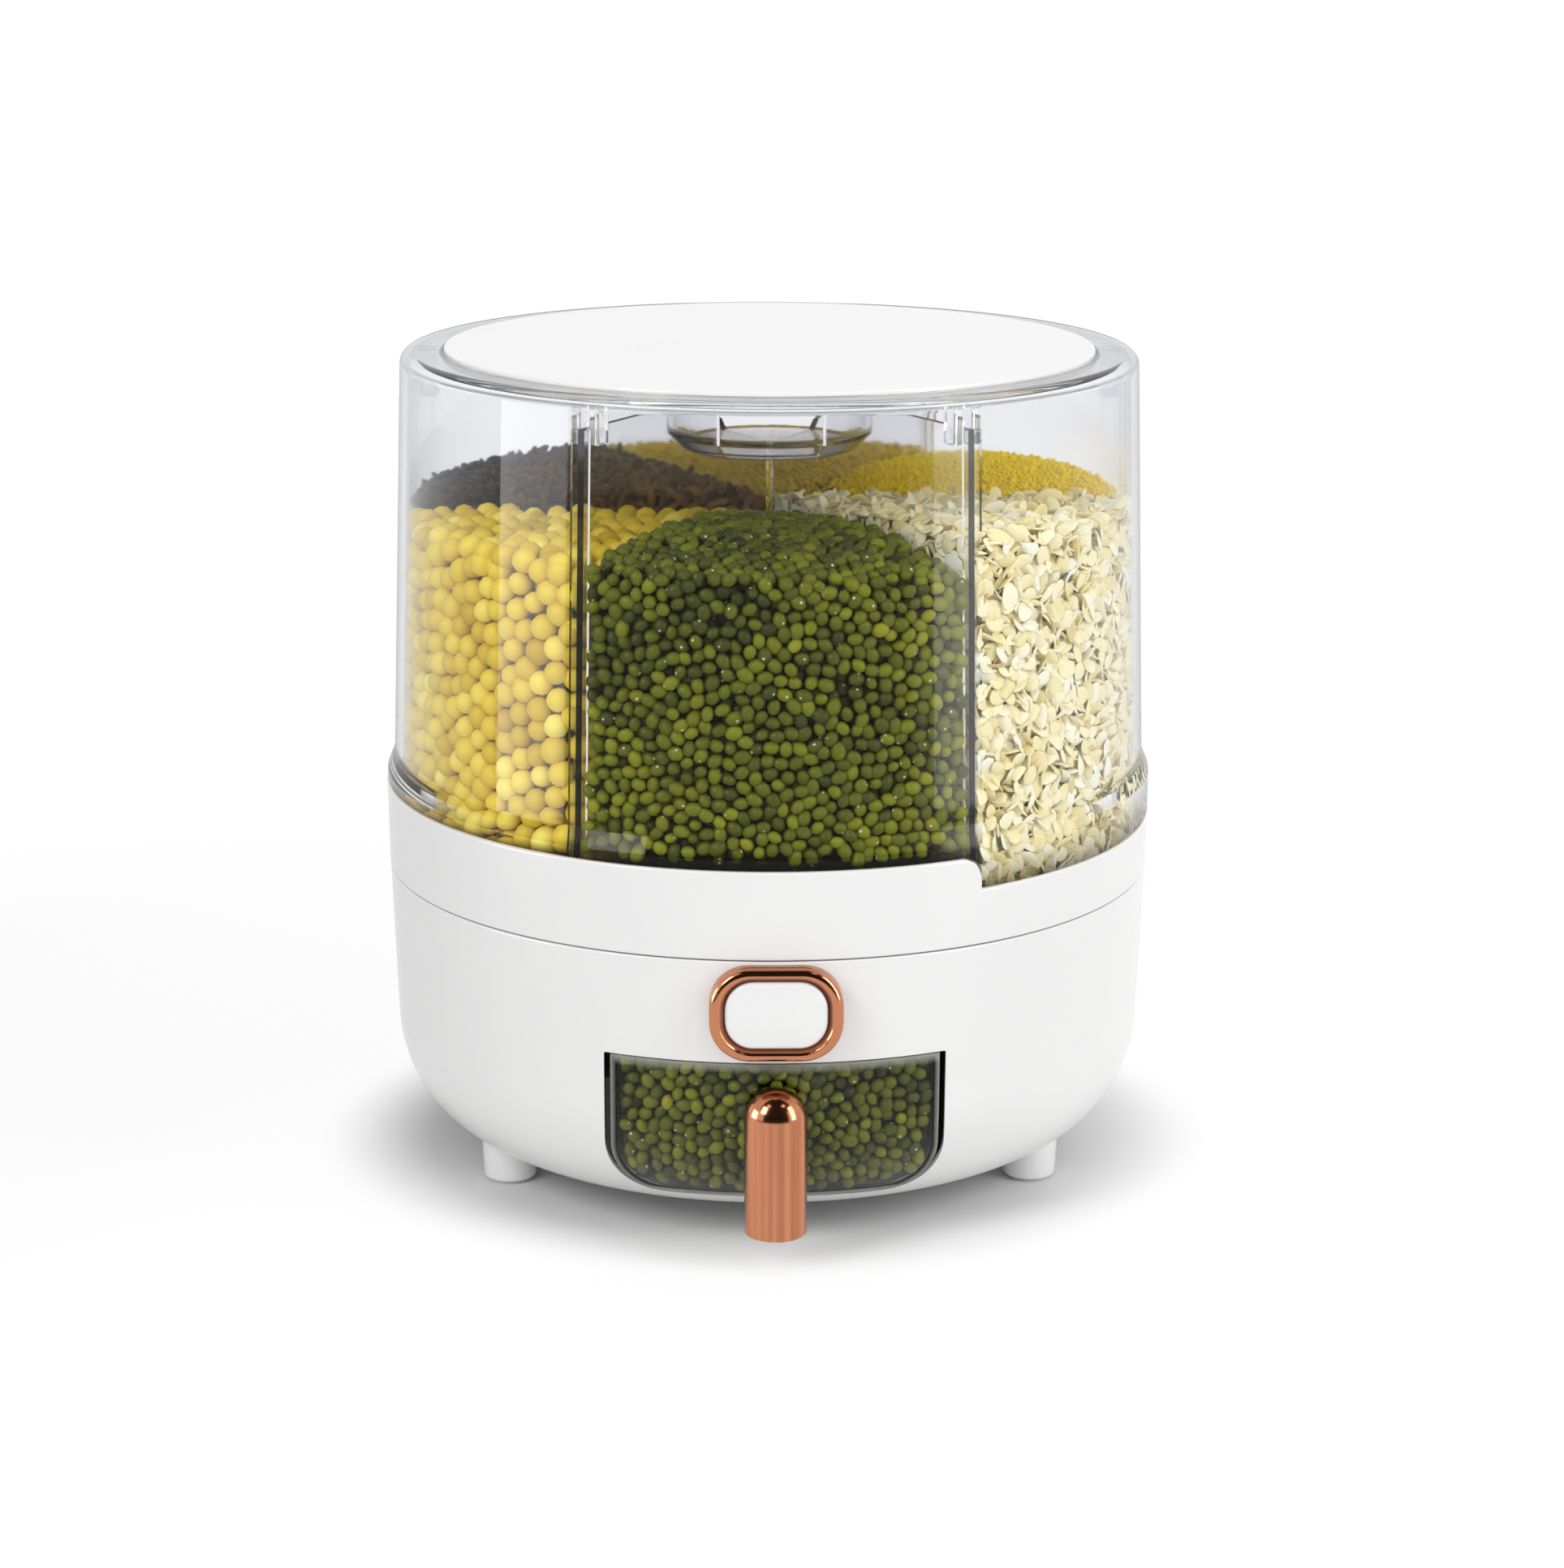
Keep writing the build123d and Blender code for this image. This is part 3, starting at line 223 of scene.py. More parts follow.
# Moulded finish: broad mottling and fine grain from two noises; the outputs are a tone for the colour, a
# roughness and a height.
def mouldedFinishGroup():
    group = bpy.data.node_groups.new("mouldedFinish", "ShaderNodeTree")
    face = group.interface
    face.new_socket("Tone", in_out="INPUT", socket_type="NodeSocketColor")
    face.new_socket("Shade", in_out="INPUT", socket_type="NodeSocketColor")
    for label in ("Roughness", "Roughness Spread", "Mottle Scale", "Grain Scale"):
        face.new_socket(label, in_out="INPUT", socket_type="NodeSocketFloat")
    face.new_socket("Color", in_out="OUTPUT", socket_type="NodeSocketColor")
    face.new_socket("Roughness", in_out="OUTPUT", socket_type="NodeSocketFloat")
    face.new_socket("Height", in_out="OUTPUT", socket_type="NodeSocketFloat")
    entry = group.nodes.new("NodeGroupInput")
    leave = group.nodes.new("NodeGroupOutput")
    place = newNode(group, "TexCoord")
    mottle = newNode(group, "TexNoise", {"Detail": 4.0})
    grain = newNode(group, "TexNoise", {"Detail": 2.0})
    blend = newNode(group, "Mix", data_type="RGBA")
    spread = newNode(group, "Math", operation="MULTIPLY_ADD")
    link(place, "Object", mottle, "Vector")
    link(place, "Object", grain, "Vector")
    link(entry, "Mottle Scale", mottle, "Scale")
    link(entry, "Grain Scale", grain, "Scale")
    link(mottle, "Fac", blend, "Factor")
    link(entry, "Tone", blend, "A")
    link(entry, "Shade", blend, "B")
    link(mottle, "Fac", spread, 0)
    link(entry, "Roughness Spread", spread, 1)
    link(entry, "Roughness", spread, 2)
    link(blend, "Result", leave, "Color")
    link(spread, "Value", leave, "Roughness")
    link(grain, "Fac", leave, "Height")
    return group


mouldedFinish = mouldedFinishGroup()


# Puts the moulded finish into a material and joins it to colour, roughness and bump.
def useFinish(tree, shader, look):
    finish = newNode(tree, "Group", {"Tone": (*look["tone"], 1), "Shade": (*look["shade"], 1),
                                     "Roughness": look["roughness"], "Roughness Spread": look["spread"],
                                     "Mottle Scale": look["mottleScale"],
                                     "Grain Scale": look["grainScale"]}, node_tree=mouldedFinish)
    relief = newNode(tree, "Bump", {"Strength": look["bump"], "Distance": look["bumpDepth"]})
    link(finish, "Color", shader, "Base Color")
    link(finish, "Roughness", shader, "Roughness")
    link(finish, "Height", relief, "Height")
    link(relief, "Normal", shader, "Normal")


# Solid moulding or metal: the moulded finish, under a clear coat where the look has one.
def opaqueMaterial(name, look):
    material, tree, shader = newMaterial(name)
    useFinish(tree, shader, look)
    setInputs(shader, {"Metallic": look.get("metallic", 0.0), "IOR": 1.5,
                       "Coat Weight": look.get("coat", 0.0), "Coat Roughness": 0.05})
    material.diffuse_color = (*look["tone"], 1)
    return material


whiteLook = {"tone": (0.86, 0.86, 0.855), "shade": (0.82, 0.82, 0.82), "roughness": 0.2, "spread": 0.1,
             "mottleScale": 30.0, "grainScale": 1400.0, "bump": 0.02, "bumpDepth": 0.0002, "coat": 0.25}
roseLook = {"tone": (0.61, 0.25, 0.133), "shade": (0.54, 0.215, 0.11), "roughness": 0.1, "spread": 0.08,
            "mottleScale": 60.0, "grainScale": 500.0, "bump": 0.02, "bumpDepth": 0.0002, "metallic": 1.0}
steelLook = {"tone": (0.6, 0.6, 0.61), "shade": (0.5, 0.5, 0.52), "roughness": 0.2, "spread": 0.15,
             "mottleScale": 300.0, "grainScale": 2500.0, "bump": 0.05, "bumpDepth": 0.0001, "metallic": 1.0}
acetalLook = {"tone": (0.82, 0.81, 0.78), "shade": (0.76, 0.75, 0.72), "roughness": 0.42, "spread": 0.12,
              "mottleScale": 80.0, "grainScale": 1800.0, "bump": 0.04, "bumpDepth": 0.0002}
siliconeLook = {"tone": (0.66, 0.67, 0.67), "shade": (0.58, 0.59, 0.6), "roughness": 0.6, "spread": 0.15,
                "mottleScale": 120.0, "grainScale": 2200.0, "bump": 0.08, "bumpDepth": 0.0002}
whitePlastic = opaqueMaterial("whitePlastic", whiteLook)
roseGold = opaqueMaterial("roseGoldPlating", roseLook)
steel = opaqueMaterial("brightSteel", steelLook)


# A material's colour is scaled by a value that varies over the piece.
def scaleColour(material, value):
    tree = material.node_tree
    shader = tree.nodes["Principled BSDF"]
    plain = shader.inputs["Base Color"].links[0].from_socket
    blend = newNode(tree, "VectorMath", operation="SCALE")
    tree.links.new(plain, blend.inputs[0])
    tree.links.new(value, blend.inputs["Scale"])
    link(blend, "Vector", shader, "Base Color")


# Long upright streaks over the plating, as painted reflection of the polished bar's surroundings: a noise
# stretched along its length darkens and lightens the colour.
def reflectionStreakedMaterial(name, look, streak):
    material = opaqueMaterial(name, look)
    tree = material.node_tree
    place = newNode(tree, "TexCoord")
    stretch = newNode(tree, "Mapping", {"Scale": streak["scale"]})
    lines = newNode(tree, "TexNoise", {"Scale": 1.0, "Detail": 3.0})
    depth = newNode(tree, "MapRange", {"From Min": streak["from"], "From Max": streak["to"],
                                       "To Min": streak["dark"], "To Max": streak["light"]})
    link(place, "Object", stretch, "Vector")
    link(stretch, "Vector", lines, "Vector")
    link(lines, "Fac", depth, "Value")
    scaleColour(material, depth.outputs["Result"])
    return material


# Painted reflection streaks on the handle: the colour is scaled between the dark and light values.
barReflectionStreak = {"scale": (420.0, 420.0, 4.0), "from": 0.35, "to": 0.65, "dark": 0.78, "light": 1.12}
roseGoldBar = reflectionStreakedMaterial("roseGoldBar", roseLook, barReflectionStreak)
acetal = opaqueMaterial("acetal", acetalLook)
silicone = opaqueMaterial("silicone", siliconeLook)

clearLook = {"tone": (0.965, 0.968, 0.98), "shade": (0.945, 0.95, 0.966), "edgeTone": (0.52, 0.53, 0.56),
             "edge": 0.6, "edgePower": 5.0, "glare": 0.4, "through": (0.99, 0.99, 0.995),
             "roughness": 0.015, "spread": 0.04, "mottleScale": 25.0, "grainScale": 700.0, "bump": 0.01,
             "bumpDepth": 0.0002, "ior": 1.37}


# Clear moulding: refracting shader for sight lines, greyer where the surface is seen edge-on, and a tinted
# see-through one for shadow and diffuse rays, so that what stands behind it is lit.
def clearMaterial(name, look):
    material, tree, shader = newMaterial(name)
    useFinish(tree, shader, look)
    setInputs(shader, {"Transmission Weight": 1.0, "IOR": look["ior"],
                       "Specular Tint": (look["glare"], look["glare"], look["glare"], 1)})
    through = newNode(tree, "BsdfTransparent", {"Color": (*look["through"], 1)})
    dusk = newNode(tree, "BsdfTransparent", {"Color": (*look["edgeTone"], 1)})
    facing = newNode(tree, "LayerWeight", {"Blend": 0.5})
    steep = newNode(tree, "Math", {1: look["edgePower"]}, operation="POWER")
    share = newNode(tree, "Math", {1: look["edge"]}, operation="MULTIPLY")
    edged = newNode(tree, "MixShader")
    path = newNode(tree, "LightPath")
    either = newNode(tree, "Math", operation="MAXIMUM")
    mix = newNode(tree, "MixShader")
    link(path, "Is Shadow Ray", either, 0)
    link(path, "Is Diffuse Ray", either, 1)
    link(either, "Value", mix, "Fac")
    link(facing, "Facing", steep, 0)
    link(steep, "Value", share, 0)
    link(share, "Value", edged, "Fac")
    link(shader, "BSDF", edged, 1)
    link(dusk, "BSDF", edged, 2)
    link(edged, "Shader", mix, 1)
    link(through, "BSDF", mix, 2)
    link(mix, "Shader", tree.nodes["Material Output"], "Surface")
    material.diffuse_color = (*look["tone"], 0.3)
    return material


# Painted highlight: where the piece's edge mark is above nought, a pale diffuse layer shows, for the light
# that a polished edge catches.
def addPaintedEdgeHighlight(material, tone):
    tree = material.node_tree
    final = tree.nodes["Material Output"].inputs["Surface"].links[0].from_node
    sight = final.inputs[1].links[0].from_socket
    pale = newNode(tree, "BsdfDiffuse", {"Color": (*tone, 1)})
    mark = newNode(tree, "Attribute", attribute_name="paintedEdgeHighlight")
    blend = newNode(tree, "MixShader")
    link(mark, "Fac", blend, "Fac")
    tree.links.new(sight, blend.inputs[1])
    link(pale, "BSDF", blend, 2)
    link(blend, "Shader", final, 1)
    return material


clearPlastic = clearMaterial("clearPlastic", clearLook)
# Pale tone of the painted highlight along the drawer's front edge.
edgeHighlightTone = (0.62, 0.64, 0.56)
drawerClear = addPaintedEdgeHighlight(clearMaterial("drawerClear", clearLook), edgeHighlightTone)
smokedLook = dict(clearLook, tone=(0.89, 0.895, 0.905), shade=(0.86, 0.865, 0.88))
smokedClear = clearMaterial("smokedClear", smokedLook)
drumClear = clearMaterial("drumClear", clearLook)
# The drum's colour is scaled down at its foot, as painted shade for the gap at the lip.
paintedFootShade = newNode(drumClear.node_tree, "Attribute", attribute_name="paintedFootShade")
scaleColour(drumClear, paintedFootShade.outputs["Fac"])
materialOf = {"white_plastic": whitePlastic, "clear_plastic": clearPlastic, "rose_gold_plating": roseGold,
              "steel": steel, "acetal": acetal, "silicone": silicone}
for row in frame["record"]["subparts"]:
    nodes[row["node"]].data.materials.clear()
    material = smokedClear if row["node"].startswith("divider") else materialOf[row["material_slot"]]
    nodes[row["node"]].data.materials.append(material)
print("materials made")

# Tub of the base
tub = {"bottom": 9.5 * mm, "flatR": 85.6 * mm, "roundW": 29.8 * mm, "roundH": 35.7 * mm, "sideZ": 45.2 * mm,
       "sideR": 115.4 * mm, "rimR": 117.0 * mm, "rimZ": 91.8 * mm, "wall": 2.6 * mm, "edge": 0.5 * mm,
       "turns": 288}


# Radius of the tub's outer surface at a height: the flared side above, a quarter ellipse below.
def tubRadius(z):
    z = np.asarray(z, float)
    flare = (tub["rimR"] - tub["sideR"]) / (tub["rimZ"] - tub["sideZ"])
    depth = np.clip((tub["sideZ"] - z) / tub["roundH"], 0, 1)
    curved = tub["flatR"] + tub["roundW"] * np.sqrt(1 - depth**2)
    return np.where(z > tub["sideZ"], tub["sideR"] + flare * (z - tub["sideZ"]), curved)


# How far forward the tub's surface stands at x and z, seen from the front.
def tubFront(x, z, inset=0.0):
    return -np.sqrt(np.maximum((tubRadius(z) - inset) ** 2 - np.asarray(x) ** 2, 0))


# The tub's half section: flat bottom, quarter ellipse and side outside, the same moved in by the wall inside.
def tubSection():
    swing = np.linspace(0, np.pi / 2, 40)
    flat = np.linspace(0, 1, 6)[:-1]

    def half(inset):
        across = np.concatenate([flat * tub["flatR"], tub["flatR"] + (tub["roundW"] - inset) * np.sin(swing)])
        up = np.concatenate([0 * flat + tub["bottom"] + inset,
                             tub["sideZ"] - (tub["roundH"] - inset) * np.cos(swing)])
        climb = np.linspace(0, 1, 14)[1:-1]
        side = tub["sideR"] + (tub["rimR"] - tub["sideR"]) * climb - inset
        rise = tub["sideZ"] + (tub["rimZ"] - tub["sideZ"]) * climb
        return np.stack([np.concatenate([across, side]), np.concatenate([up, rise])], -1)

    outside = half(0.0)
    inside = half(tub["wall"])[::-1]
    rimCorners = [outside[-1], (tub["rimR"], tub["rimZ"]), (tub["rimR"] - tub["wall"], tub["rimZ"]),
                  inside[0]]
    rim = roundedPath(rimCorners, tub["edge"], 4).reshape(4, -1, 2)[1:3].reshape(-1, 2)
    return np.concatenate([outside, rim, inside])


# An outline in x and z carried straight back along y, as a closed prism for cutting.
def cuttingPrism(name, outline, frontY, backY):
    x, z = outline.T
    middle = z.mean()
    rows = [grid(0 * x, frontY, middle), grid(x, frontY, z), grid(x, backY, z), grid(0 * x, backY, middle)]
    return meshObject(name, gridSurface(np.stack(rows), closeColumns=True), sharp=0)


window = {"halfW": 49.0 * mm, "bottom": 16.2 * mm, "top": 61.5 * mm, "corner": 18.0 * mm,
          "topCorner": 0.6 * mm, "front": -130 * mm, "back": -60.0 * mm, "cornerSteps": 16}
buttonSize = {"w": 29.0 * mm, "h": 19.5 * mm, "corner": 8.0 * mm, "z": 77.2 * mm, "front": -122.0 * mm,
              "back": -105.5 * mm, "edge": 1.2 * mm, "crown": 0.5 * mm, "support": 0.5 * mm}
buttonHole = {"margin": 2.1 * mm, "front": -130 * mm, "back": -100 * mm}


# Half width of a drawer outline at a height: full above the corner, drawn in round the bottom corner below.
def outlineHalf(z, halfW, low, corner):
    lift = np.clip((low + corner - z) / corner, 0, 1)
    return halfW - corner + corner * np.sqrt(1 - lift**2)


# A rounded rectangle about a point, with the same number of points whatever its size.
def roundedRectangle(w, h, corner, z, steps=10):
    corners = [(-w / 2, z - h / 2), (w / 2, z - h / 2), (w / 2, z + h / 2), (-w / 2, z + h / 2)]
    return roundedPath(corners, corner, steps)


# The tub: its half section carried round the axis, less the drawer's window and the button's hole.
def makeTub():
    thing = meshObject("tub", lathe(tubSection(), tub["turns"]))
    w, low, high, r = window["halfW"], window["bottom"], window["top"], window["corner"]
    corners = [(-w, low), (w, low), (w, high), (-w, high)]
    radii = [r, r, window["topCorner"], window["topCorner"]]
    outline = roundedPath(corners, radii, window["cornerSteps"])
    opening = cuttingPrism("windowCut", outline, window["front"], window["back"])
    m = buttonHole["margin"]
    b = buttonSize
    hole = roundedRectangle(b["w"] + 2 * m, b["h"] + 2 * m, b["corner"] + m, b["z"])
    socket = cuttingPrism("buttonCut", hole, buttonHole["front"], buttonHole["back"])
    for cutter in (opening, socket):
        cut = thing.modifiers.new("cut", "BOOLEAN")
        cut.operation = "DIFFERENCE"
        cut.solver = "EXACT"
        cut.object = cutter
    workIn(thing)
    for cutter in (opening, socket):
        bpy.data.objects.remove(cutter)
    return thing


fitPiece(makeTub(), whitePlastic, "base", "white_plastic", "base_shell")
legs = {"x": 79.51 * mm, "y": 42.28 * mm, "bottomR": 8.0 * mm, "taper": math.tan(math.radians(3.0)),
        "stand": 0.8 * mm, "edge": 0.8 * mm, "sink": 1.2 * mm, "tall": 11 * mm, "rows": 12, "turns": 64}


# A leg: rounded foot edge, drafted side, and a top that follows the tub's own surface a little way inside it.
def makeLegs():
    angles = np.linspace(0, 2 * np.pi, legs["turns"], endpoint=False)
    lift = np.linspace(0, np.pi / 2, 6)
    edge = legs["edge"]
    reach = np.concatenate([[0], legs["bottomR"] - edge + edge * np.sin(lift)])
    height = np.concatenate([[0], edge - edge * np.cos(lift)]) + legs["stand"]
    topR = legs["bottomR"] + legs["tall"] * legs["taper"]
    share = np.linspace(0, 1, legs["rows"])[1:, None, None]
    surfaces = []
    for x in (-legs["x"], legs["x"]):
        for y in (-legs["y"], legs["y"]):
            foot = carried(reach[:, None], height[:, None], angles) + [x, y, 0]
            top = carried(topR, 0.0, angles) + [x, y, 0]
            far = np.clip((np.hypot(top[:, 0], top[:, 1]) - tub["flatR"]) / tub["roundW"], 0, 1)
            top[:, 2] = tub["sideZ"] - tub["roundH"] * np.sqrt(1 - far**2) + legs["sink"]
            side = foot[-1] + (top - foot[-1]) * share
            cover = grid(x, y, np.full((1, legs["turns"]), top[:, 2].mean()))
            surfaces.append(gridSurface(np.concatenate([foot, side, cover]), closeColumns=True))
    return meshObject("legs", joinSurfaces(*surfaces))


fitPiece(makeLegs(), whitePlastic, "base", "white_plastic")
print("tub and legs made")

# Collar with its stepped lip
collar = {"bottomZ": 92.2 * mm, "highZ": 118.0 * mm, "step": 9.5 * mm, "corner": 6.5 * mm,
          "bottomR": 117.1 * mm, "topR": 117.5 * mm, "innerR": 115.6 * mm, "flangeW": 4.4 * mm,
          "flangeZ": 98.6 * mm, "flangeT": 2.2 * mm, "stepAngle": -60.0, "endGap": 0.04 * mm,
          "edge": 0.6 * mm, "bottomEdge": 0.5 * mm, "innerEdge": 0.2 * mm, "seamEdge": 0.3 * mm,
          "lipFrom": 104 * mm, "outerBand": 0.5 * mm, "turns": 360}


# How far the lip lies below its high level, at an angle: nothing over the raised half, rounded down at its
# two ends, and the whole step over the other half. The raised half runs from 180 degrees before the step
# angle up to it.
def lipDrop(angles, gap=0.0):
    fromEnd = (math.radians(collar["stepAngle"]) - angles) % (2 * np.pi)
    along = np.minimum(fromEnd, np.pi - fromEnd) * collar["topR"] + gap
    inside = fromEnd < np.pi
    r = collar["corner"]
    curve = r - np.sqrt(np.maximum(r**2 - np.maximum(r - along, 0) ** 2, 0))
    return np.where(inside & (along >= 0), curve, collar["step"])


# Angles round the lip, with extra ones where it rounds down and two close together at each upright end.
def lipAngles(turns):
    even = np.linspace(0, 2 * np.pi, turns, endpoint=False)
    sweep = np.linspace(0, np.pi / 2, 14)
    offsets = collar["corner"] * (1 - np.cos(sweep)) / collar["topR"]
    past = collar["endGap"] / collar["topR"]
    end = math.radians(collar["stepAngle"])
    other = end - np.pi
    near = np.concatenate([end - offsets - 1e-7, [end + past], other + offsets + 1e-7, [other - past]])
    return np.unique(np.round(np.concatenate([even, near % (2 * np.pi)]), 9))


# The collar: a rounded section carried round the axis, whose upper points go down with the lip and follow
# the slope of the outer wall.
def makeCollar():
    c = collar
    flangeR, flangeLow = c["innerR"] - c["flangeW"], c["flangeZ"] - c["flangeT"]
    corners = [(c["bottomR"], c["bottomZ"]), (c["topR"], c["highZ"]), (c["innerR"], c["highZ"]),
               (c["innerR"], c["flangeZ"]), (flangeR, c["flangeZ"]), (flangeR, flangeLow),
               (c["innerR"], flangeLow), (c["innerR"], c["bottomZ"])]
    radii = [c["bottomEdge"], c["edge"], c["edge"]] + 4 * [c["innerEdge"]] + [c["seamEdge"]]
    profile = roundedPath(corners, radii, 5)
    angles = lipAngles(c["turns"])
    drop = np.where((profile[:, 1] > c["lipFrom"])[:, None], lipDrop(angles)[None, :], 0)
    slope = (c["topR"] - c["bottomR"]) / (c["highZ"] - c["bottomZ"])
    outer = (profile[:, 0] > c["innerR"] + c["outerBand"])[:, None]
    r = profile[:, :1] - np.where(outer, drop * slope, 0)
    points = carried(r, profile[:, 1:] - drop, angles)
    return meshObject("stepCollar", gridSurface(points, closeRows=True, closeColumns=True), sharp=40)


fitPiece(makeCollar(), whitePlastic, "drum", "white_plastic", "turntable_collar")

# Clear drum
drum = {"spigotR": 115.2 * mm, "wall": 2.4 * mm, "bottomZ": 104.5 * mm, "flangeR": 117.2 * mm,
        "flangeTop": 121.5 * mm, "footR": 115.0 * mm, "footZ": 127.0 * mm, "shoulderR": 111.0 * mm,
        "shoulderZ": 245.4 * mm, "topZ": 249.0 * mm, "ceiling": 246.4 * mm, "seatR": 98.1 * mm,
        "seatZ": 248.2 * mm, "openR": 95.8 * mm, "ringZ": 244.4 * mm, "ringT": 2.6 * mm, "gap": 0.3 * mm,
        "hangLow": 106 * mm, "hangHigh": 119.4 * mm, "hangR": 114.5 * mm,
        "radii": [0.3, 0.3, 0.2, 0.5, 1.2, 2.5, 3.6, 0.4, 0.2, 0.4, 0.5, 0.5, 0.8, 1.6, 2.0], "turns": 360,
        # The foot values set the painted shade at the lip: its colour scale, its height and how far outside
        # the spigot it starts.
        "footDark": 0.1, "footDarkH": 1.6 * mm, "footDarkR": 0.3 * mm}


# Radius of the drum's drafted outer wall at a height: a straight line from foot to shoulder.
def drumOuter(z):
    share = (np.asarray(z, float) - drum["footZ"]) / (drum["shoulderZ"] - drum["footZ"])
    return drum["footR"] + (drum["shoulderR"] - drum["footR"]) * share


# The drum: a rounded section carried round the axis. The underside of the flange hangs lower where the lip
# does.
def makeDrum():
    d = drum
    ringR = d["openR"] + d["ringT"]
    under = collar["highZ"] + d["gap"]
    inner = d["spigotR"] - d["wall"]
    corners = [(inner, d["bottomZ"]), (d["spigotR"], d["bottomZ"]), (d["spigotR"], under),
               (d["flangeR"], under), (d["flangeR"], d["flangeTop"]), (d["footR"], d["footZ"]),
               (float(drumOuter(d["topZ"])), d["topZ"]), (d["seatR"], d["topZ"]), (d["seatR"], d["seatZ"]),
               (d["openR"], d["seatZ"]), (d["openR"], d["ringZ"]), (ringR, d["ringZ"]), (ringR, d["ceiling"]),
               (float(drumOuter(d["ceiling"])) - d["wall"], d["ceiling"]),
               (d["footR"] - d["wall"], d["footZ"])]
    profile = roundedPath(corners, np.array(d["radii"]) * mm, 6)
    angles = lipAngles(d["turns"])
    r, z = profile.T
    hangs = (z > d["hangLow"]) & (z < d["hangHigh"]) & (r > d["hangR"])
    drop = np.where(hangs[:, None], lipDrop(angles, d["gap"])[None, :], 0)
    points = carried(profile[:, :1], profile[:, 1:] - drop, angles)
    return gridSurface(points, closeRows=True, closeColumns=True)


lugs = {"inner": 100.0 * mm, "outer": 105.6 * mm, "offset": 2.9 * mm, "t": 3.0 * mm, "bottom": 234.5 * mm,
        "top": 246.35 * mm, "edge": 0.5 * mm, "endShare": 0.86}


# A lug: a small rounded-edge block, as a rounded rectangle carried upwards and closed at both ends.
def makeLugs(count=6):
    middle = (lugs["inner"] + lugs["outer"]) / 2
    low, high = lugs["bottom"], lugs["top"]
    heights = np.array([low, low, low + lugs["edge"], high, high])[:, None]
    surfaces = []
    for turn in np.arange(count) * 360 / count:
        for side in (-1, 1):
            across, shift = lugs["outer"] - lugs["inner"], side * lugs["offset"]
            ring = roundedRectangle(across, lugs["t"], lugs["edge"], shift, 3) + [middle, 0]
            centre = ring.mean(0)
            drawnIn = centre + (ring - centre) * lugs["endShare"]
            u, v = np.stack([centre + 0 * ring, drawnIn, ring, ring, centre + 0 * ring]).transpose(2, 0, 1)
            surfaces.append(gridSurface(turnedOut(u, v, heights, turn), closeColumns=True))
    return joinSurfaces(*surfaces)


# Painted shade along the drum's lower edge, for the dark gap where the drum meets the lip: its points within
# a small height of the lip are dark, all others plain.
def paintFootShade(thing):
    x, y, z = pointsOf(thing).T
    above = z - collar["highZ"] + lipDrop(np.arctan2(y, x), drum["gap"])
    low = (np.hypot(x, y) > drum["spigotR"] + drum["footDarkR"]) & (above < drum["footDarkH"])
    shade = np.where(low, drum["footDark"], 1.0)
    return markPoints(thing, "paintedFootShade", shade)


drumWall = meshObject("drumWall", joinSurfaces(makeDrum(), makeLugs()), sharp=40)
fitPiece(paintFootShade(drumWall), drumClear, "drum", "clear_plastic", "drum_shell")
print("collar and drum made")

# Lid and hub cup
lid = {"r": 97.8 * mm, "top": 250.0 * mm, "bottom": 248.4 * mm, "plugR": 93.5 * mm, "plugWall": 3.0 * mm,
       "plugBottom": 244.8 * mm, "radii": [0.01, 0.3, 0.4, 0.4, 0.3, 0.3, 0.7, 0.01], "turns": 256}


# A section that starts and ends on the axis, with its other corners rounded, carried round it.
def turnedPiece(name, corners, radii, turns, steps=5):
    profile = roundedPath(corners, np.array(radii) * mm, steps)
    perCorner = steps + 3
    profile = np.concatenate([corners[:1], profile[perCorner:-perCorner], corners[-1:]])
    return meshObject(name, lathe(profile, turns))


# The lid: a flat disc with a ring under it that plugs the drum's opening.
def makeLid():
    low, high, end, plugR = lid["bottom"], lid["top"], lid["plugBottom"], lid["plugR"]
    plugInner = plugR - lid["plugWall"]
    corners = [(0, low), (plugInner, low), (plugInner, end), (plugR, end), (plugR, low), (lid["r"], low),
               (lid["r"], high), (0, high)]
    return turnedPiece("lidPanel", corners, lid["radii"], lid["turns"])


fitPiece(makeLid(), whitePlastic, "lid", "white_plastic", "lid_panel")
cup = {"r": 32.0 * mm, "flatR": 27.0 * mm, "bottom": 219.0 * mm, "top": 238.0 * mm, "wall": 1.8 * mm,
       "radii": [0.01, 2.5, 2.5, 0.7, 0.7, 2.0, 2.0, 0.01], "turns": 160}


# The cup: a flat bottom, a slope and an upright wall, of one thickness.
def makeCup():
    c = cup
    rise = c["bottom"] + c["r"] - c["flatR"]
    corners = [(0, c["bottom"]), (c["flatR"], c["bottom"]), (c["r"], rise), (c["r"], c["top"]),
               (c["r"] - c["wall"], c["top"]), (c["r"] - c["wall"], rise + c["wall"] / 2),
               (c["flatR"] - c["wall"] / 2, c["bottom"] + c["wall"]), (0, c["bottom"] + c["wall"])]
    return turnedPiece("hubCup", corners, c["radii"], c["turns"])


fitPiece(makeCup(), clearPlastic, "drum", "clear_plastic", "hub_cup")

# Drawer and its handle
drawer = {"halfW": 47.2 * mm, "bottom": 17.0 * mm, "top": 61.0 * mm, "corner": 16.2 * mm, "wall": 2.2 * mm,
          # The last two values set the strength and width of the painted highlight along the front edge.
          "back": -22.0 * mm, "rows": 26, "columns": 60, "depthRows": 14, "edge": 0.4 * mm, "glow": 0.45,
          "glowWidth": 0.9 * mm}


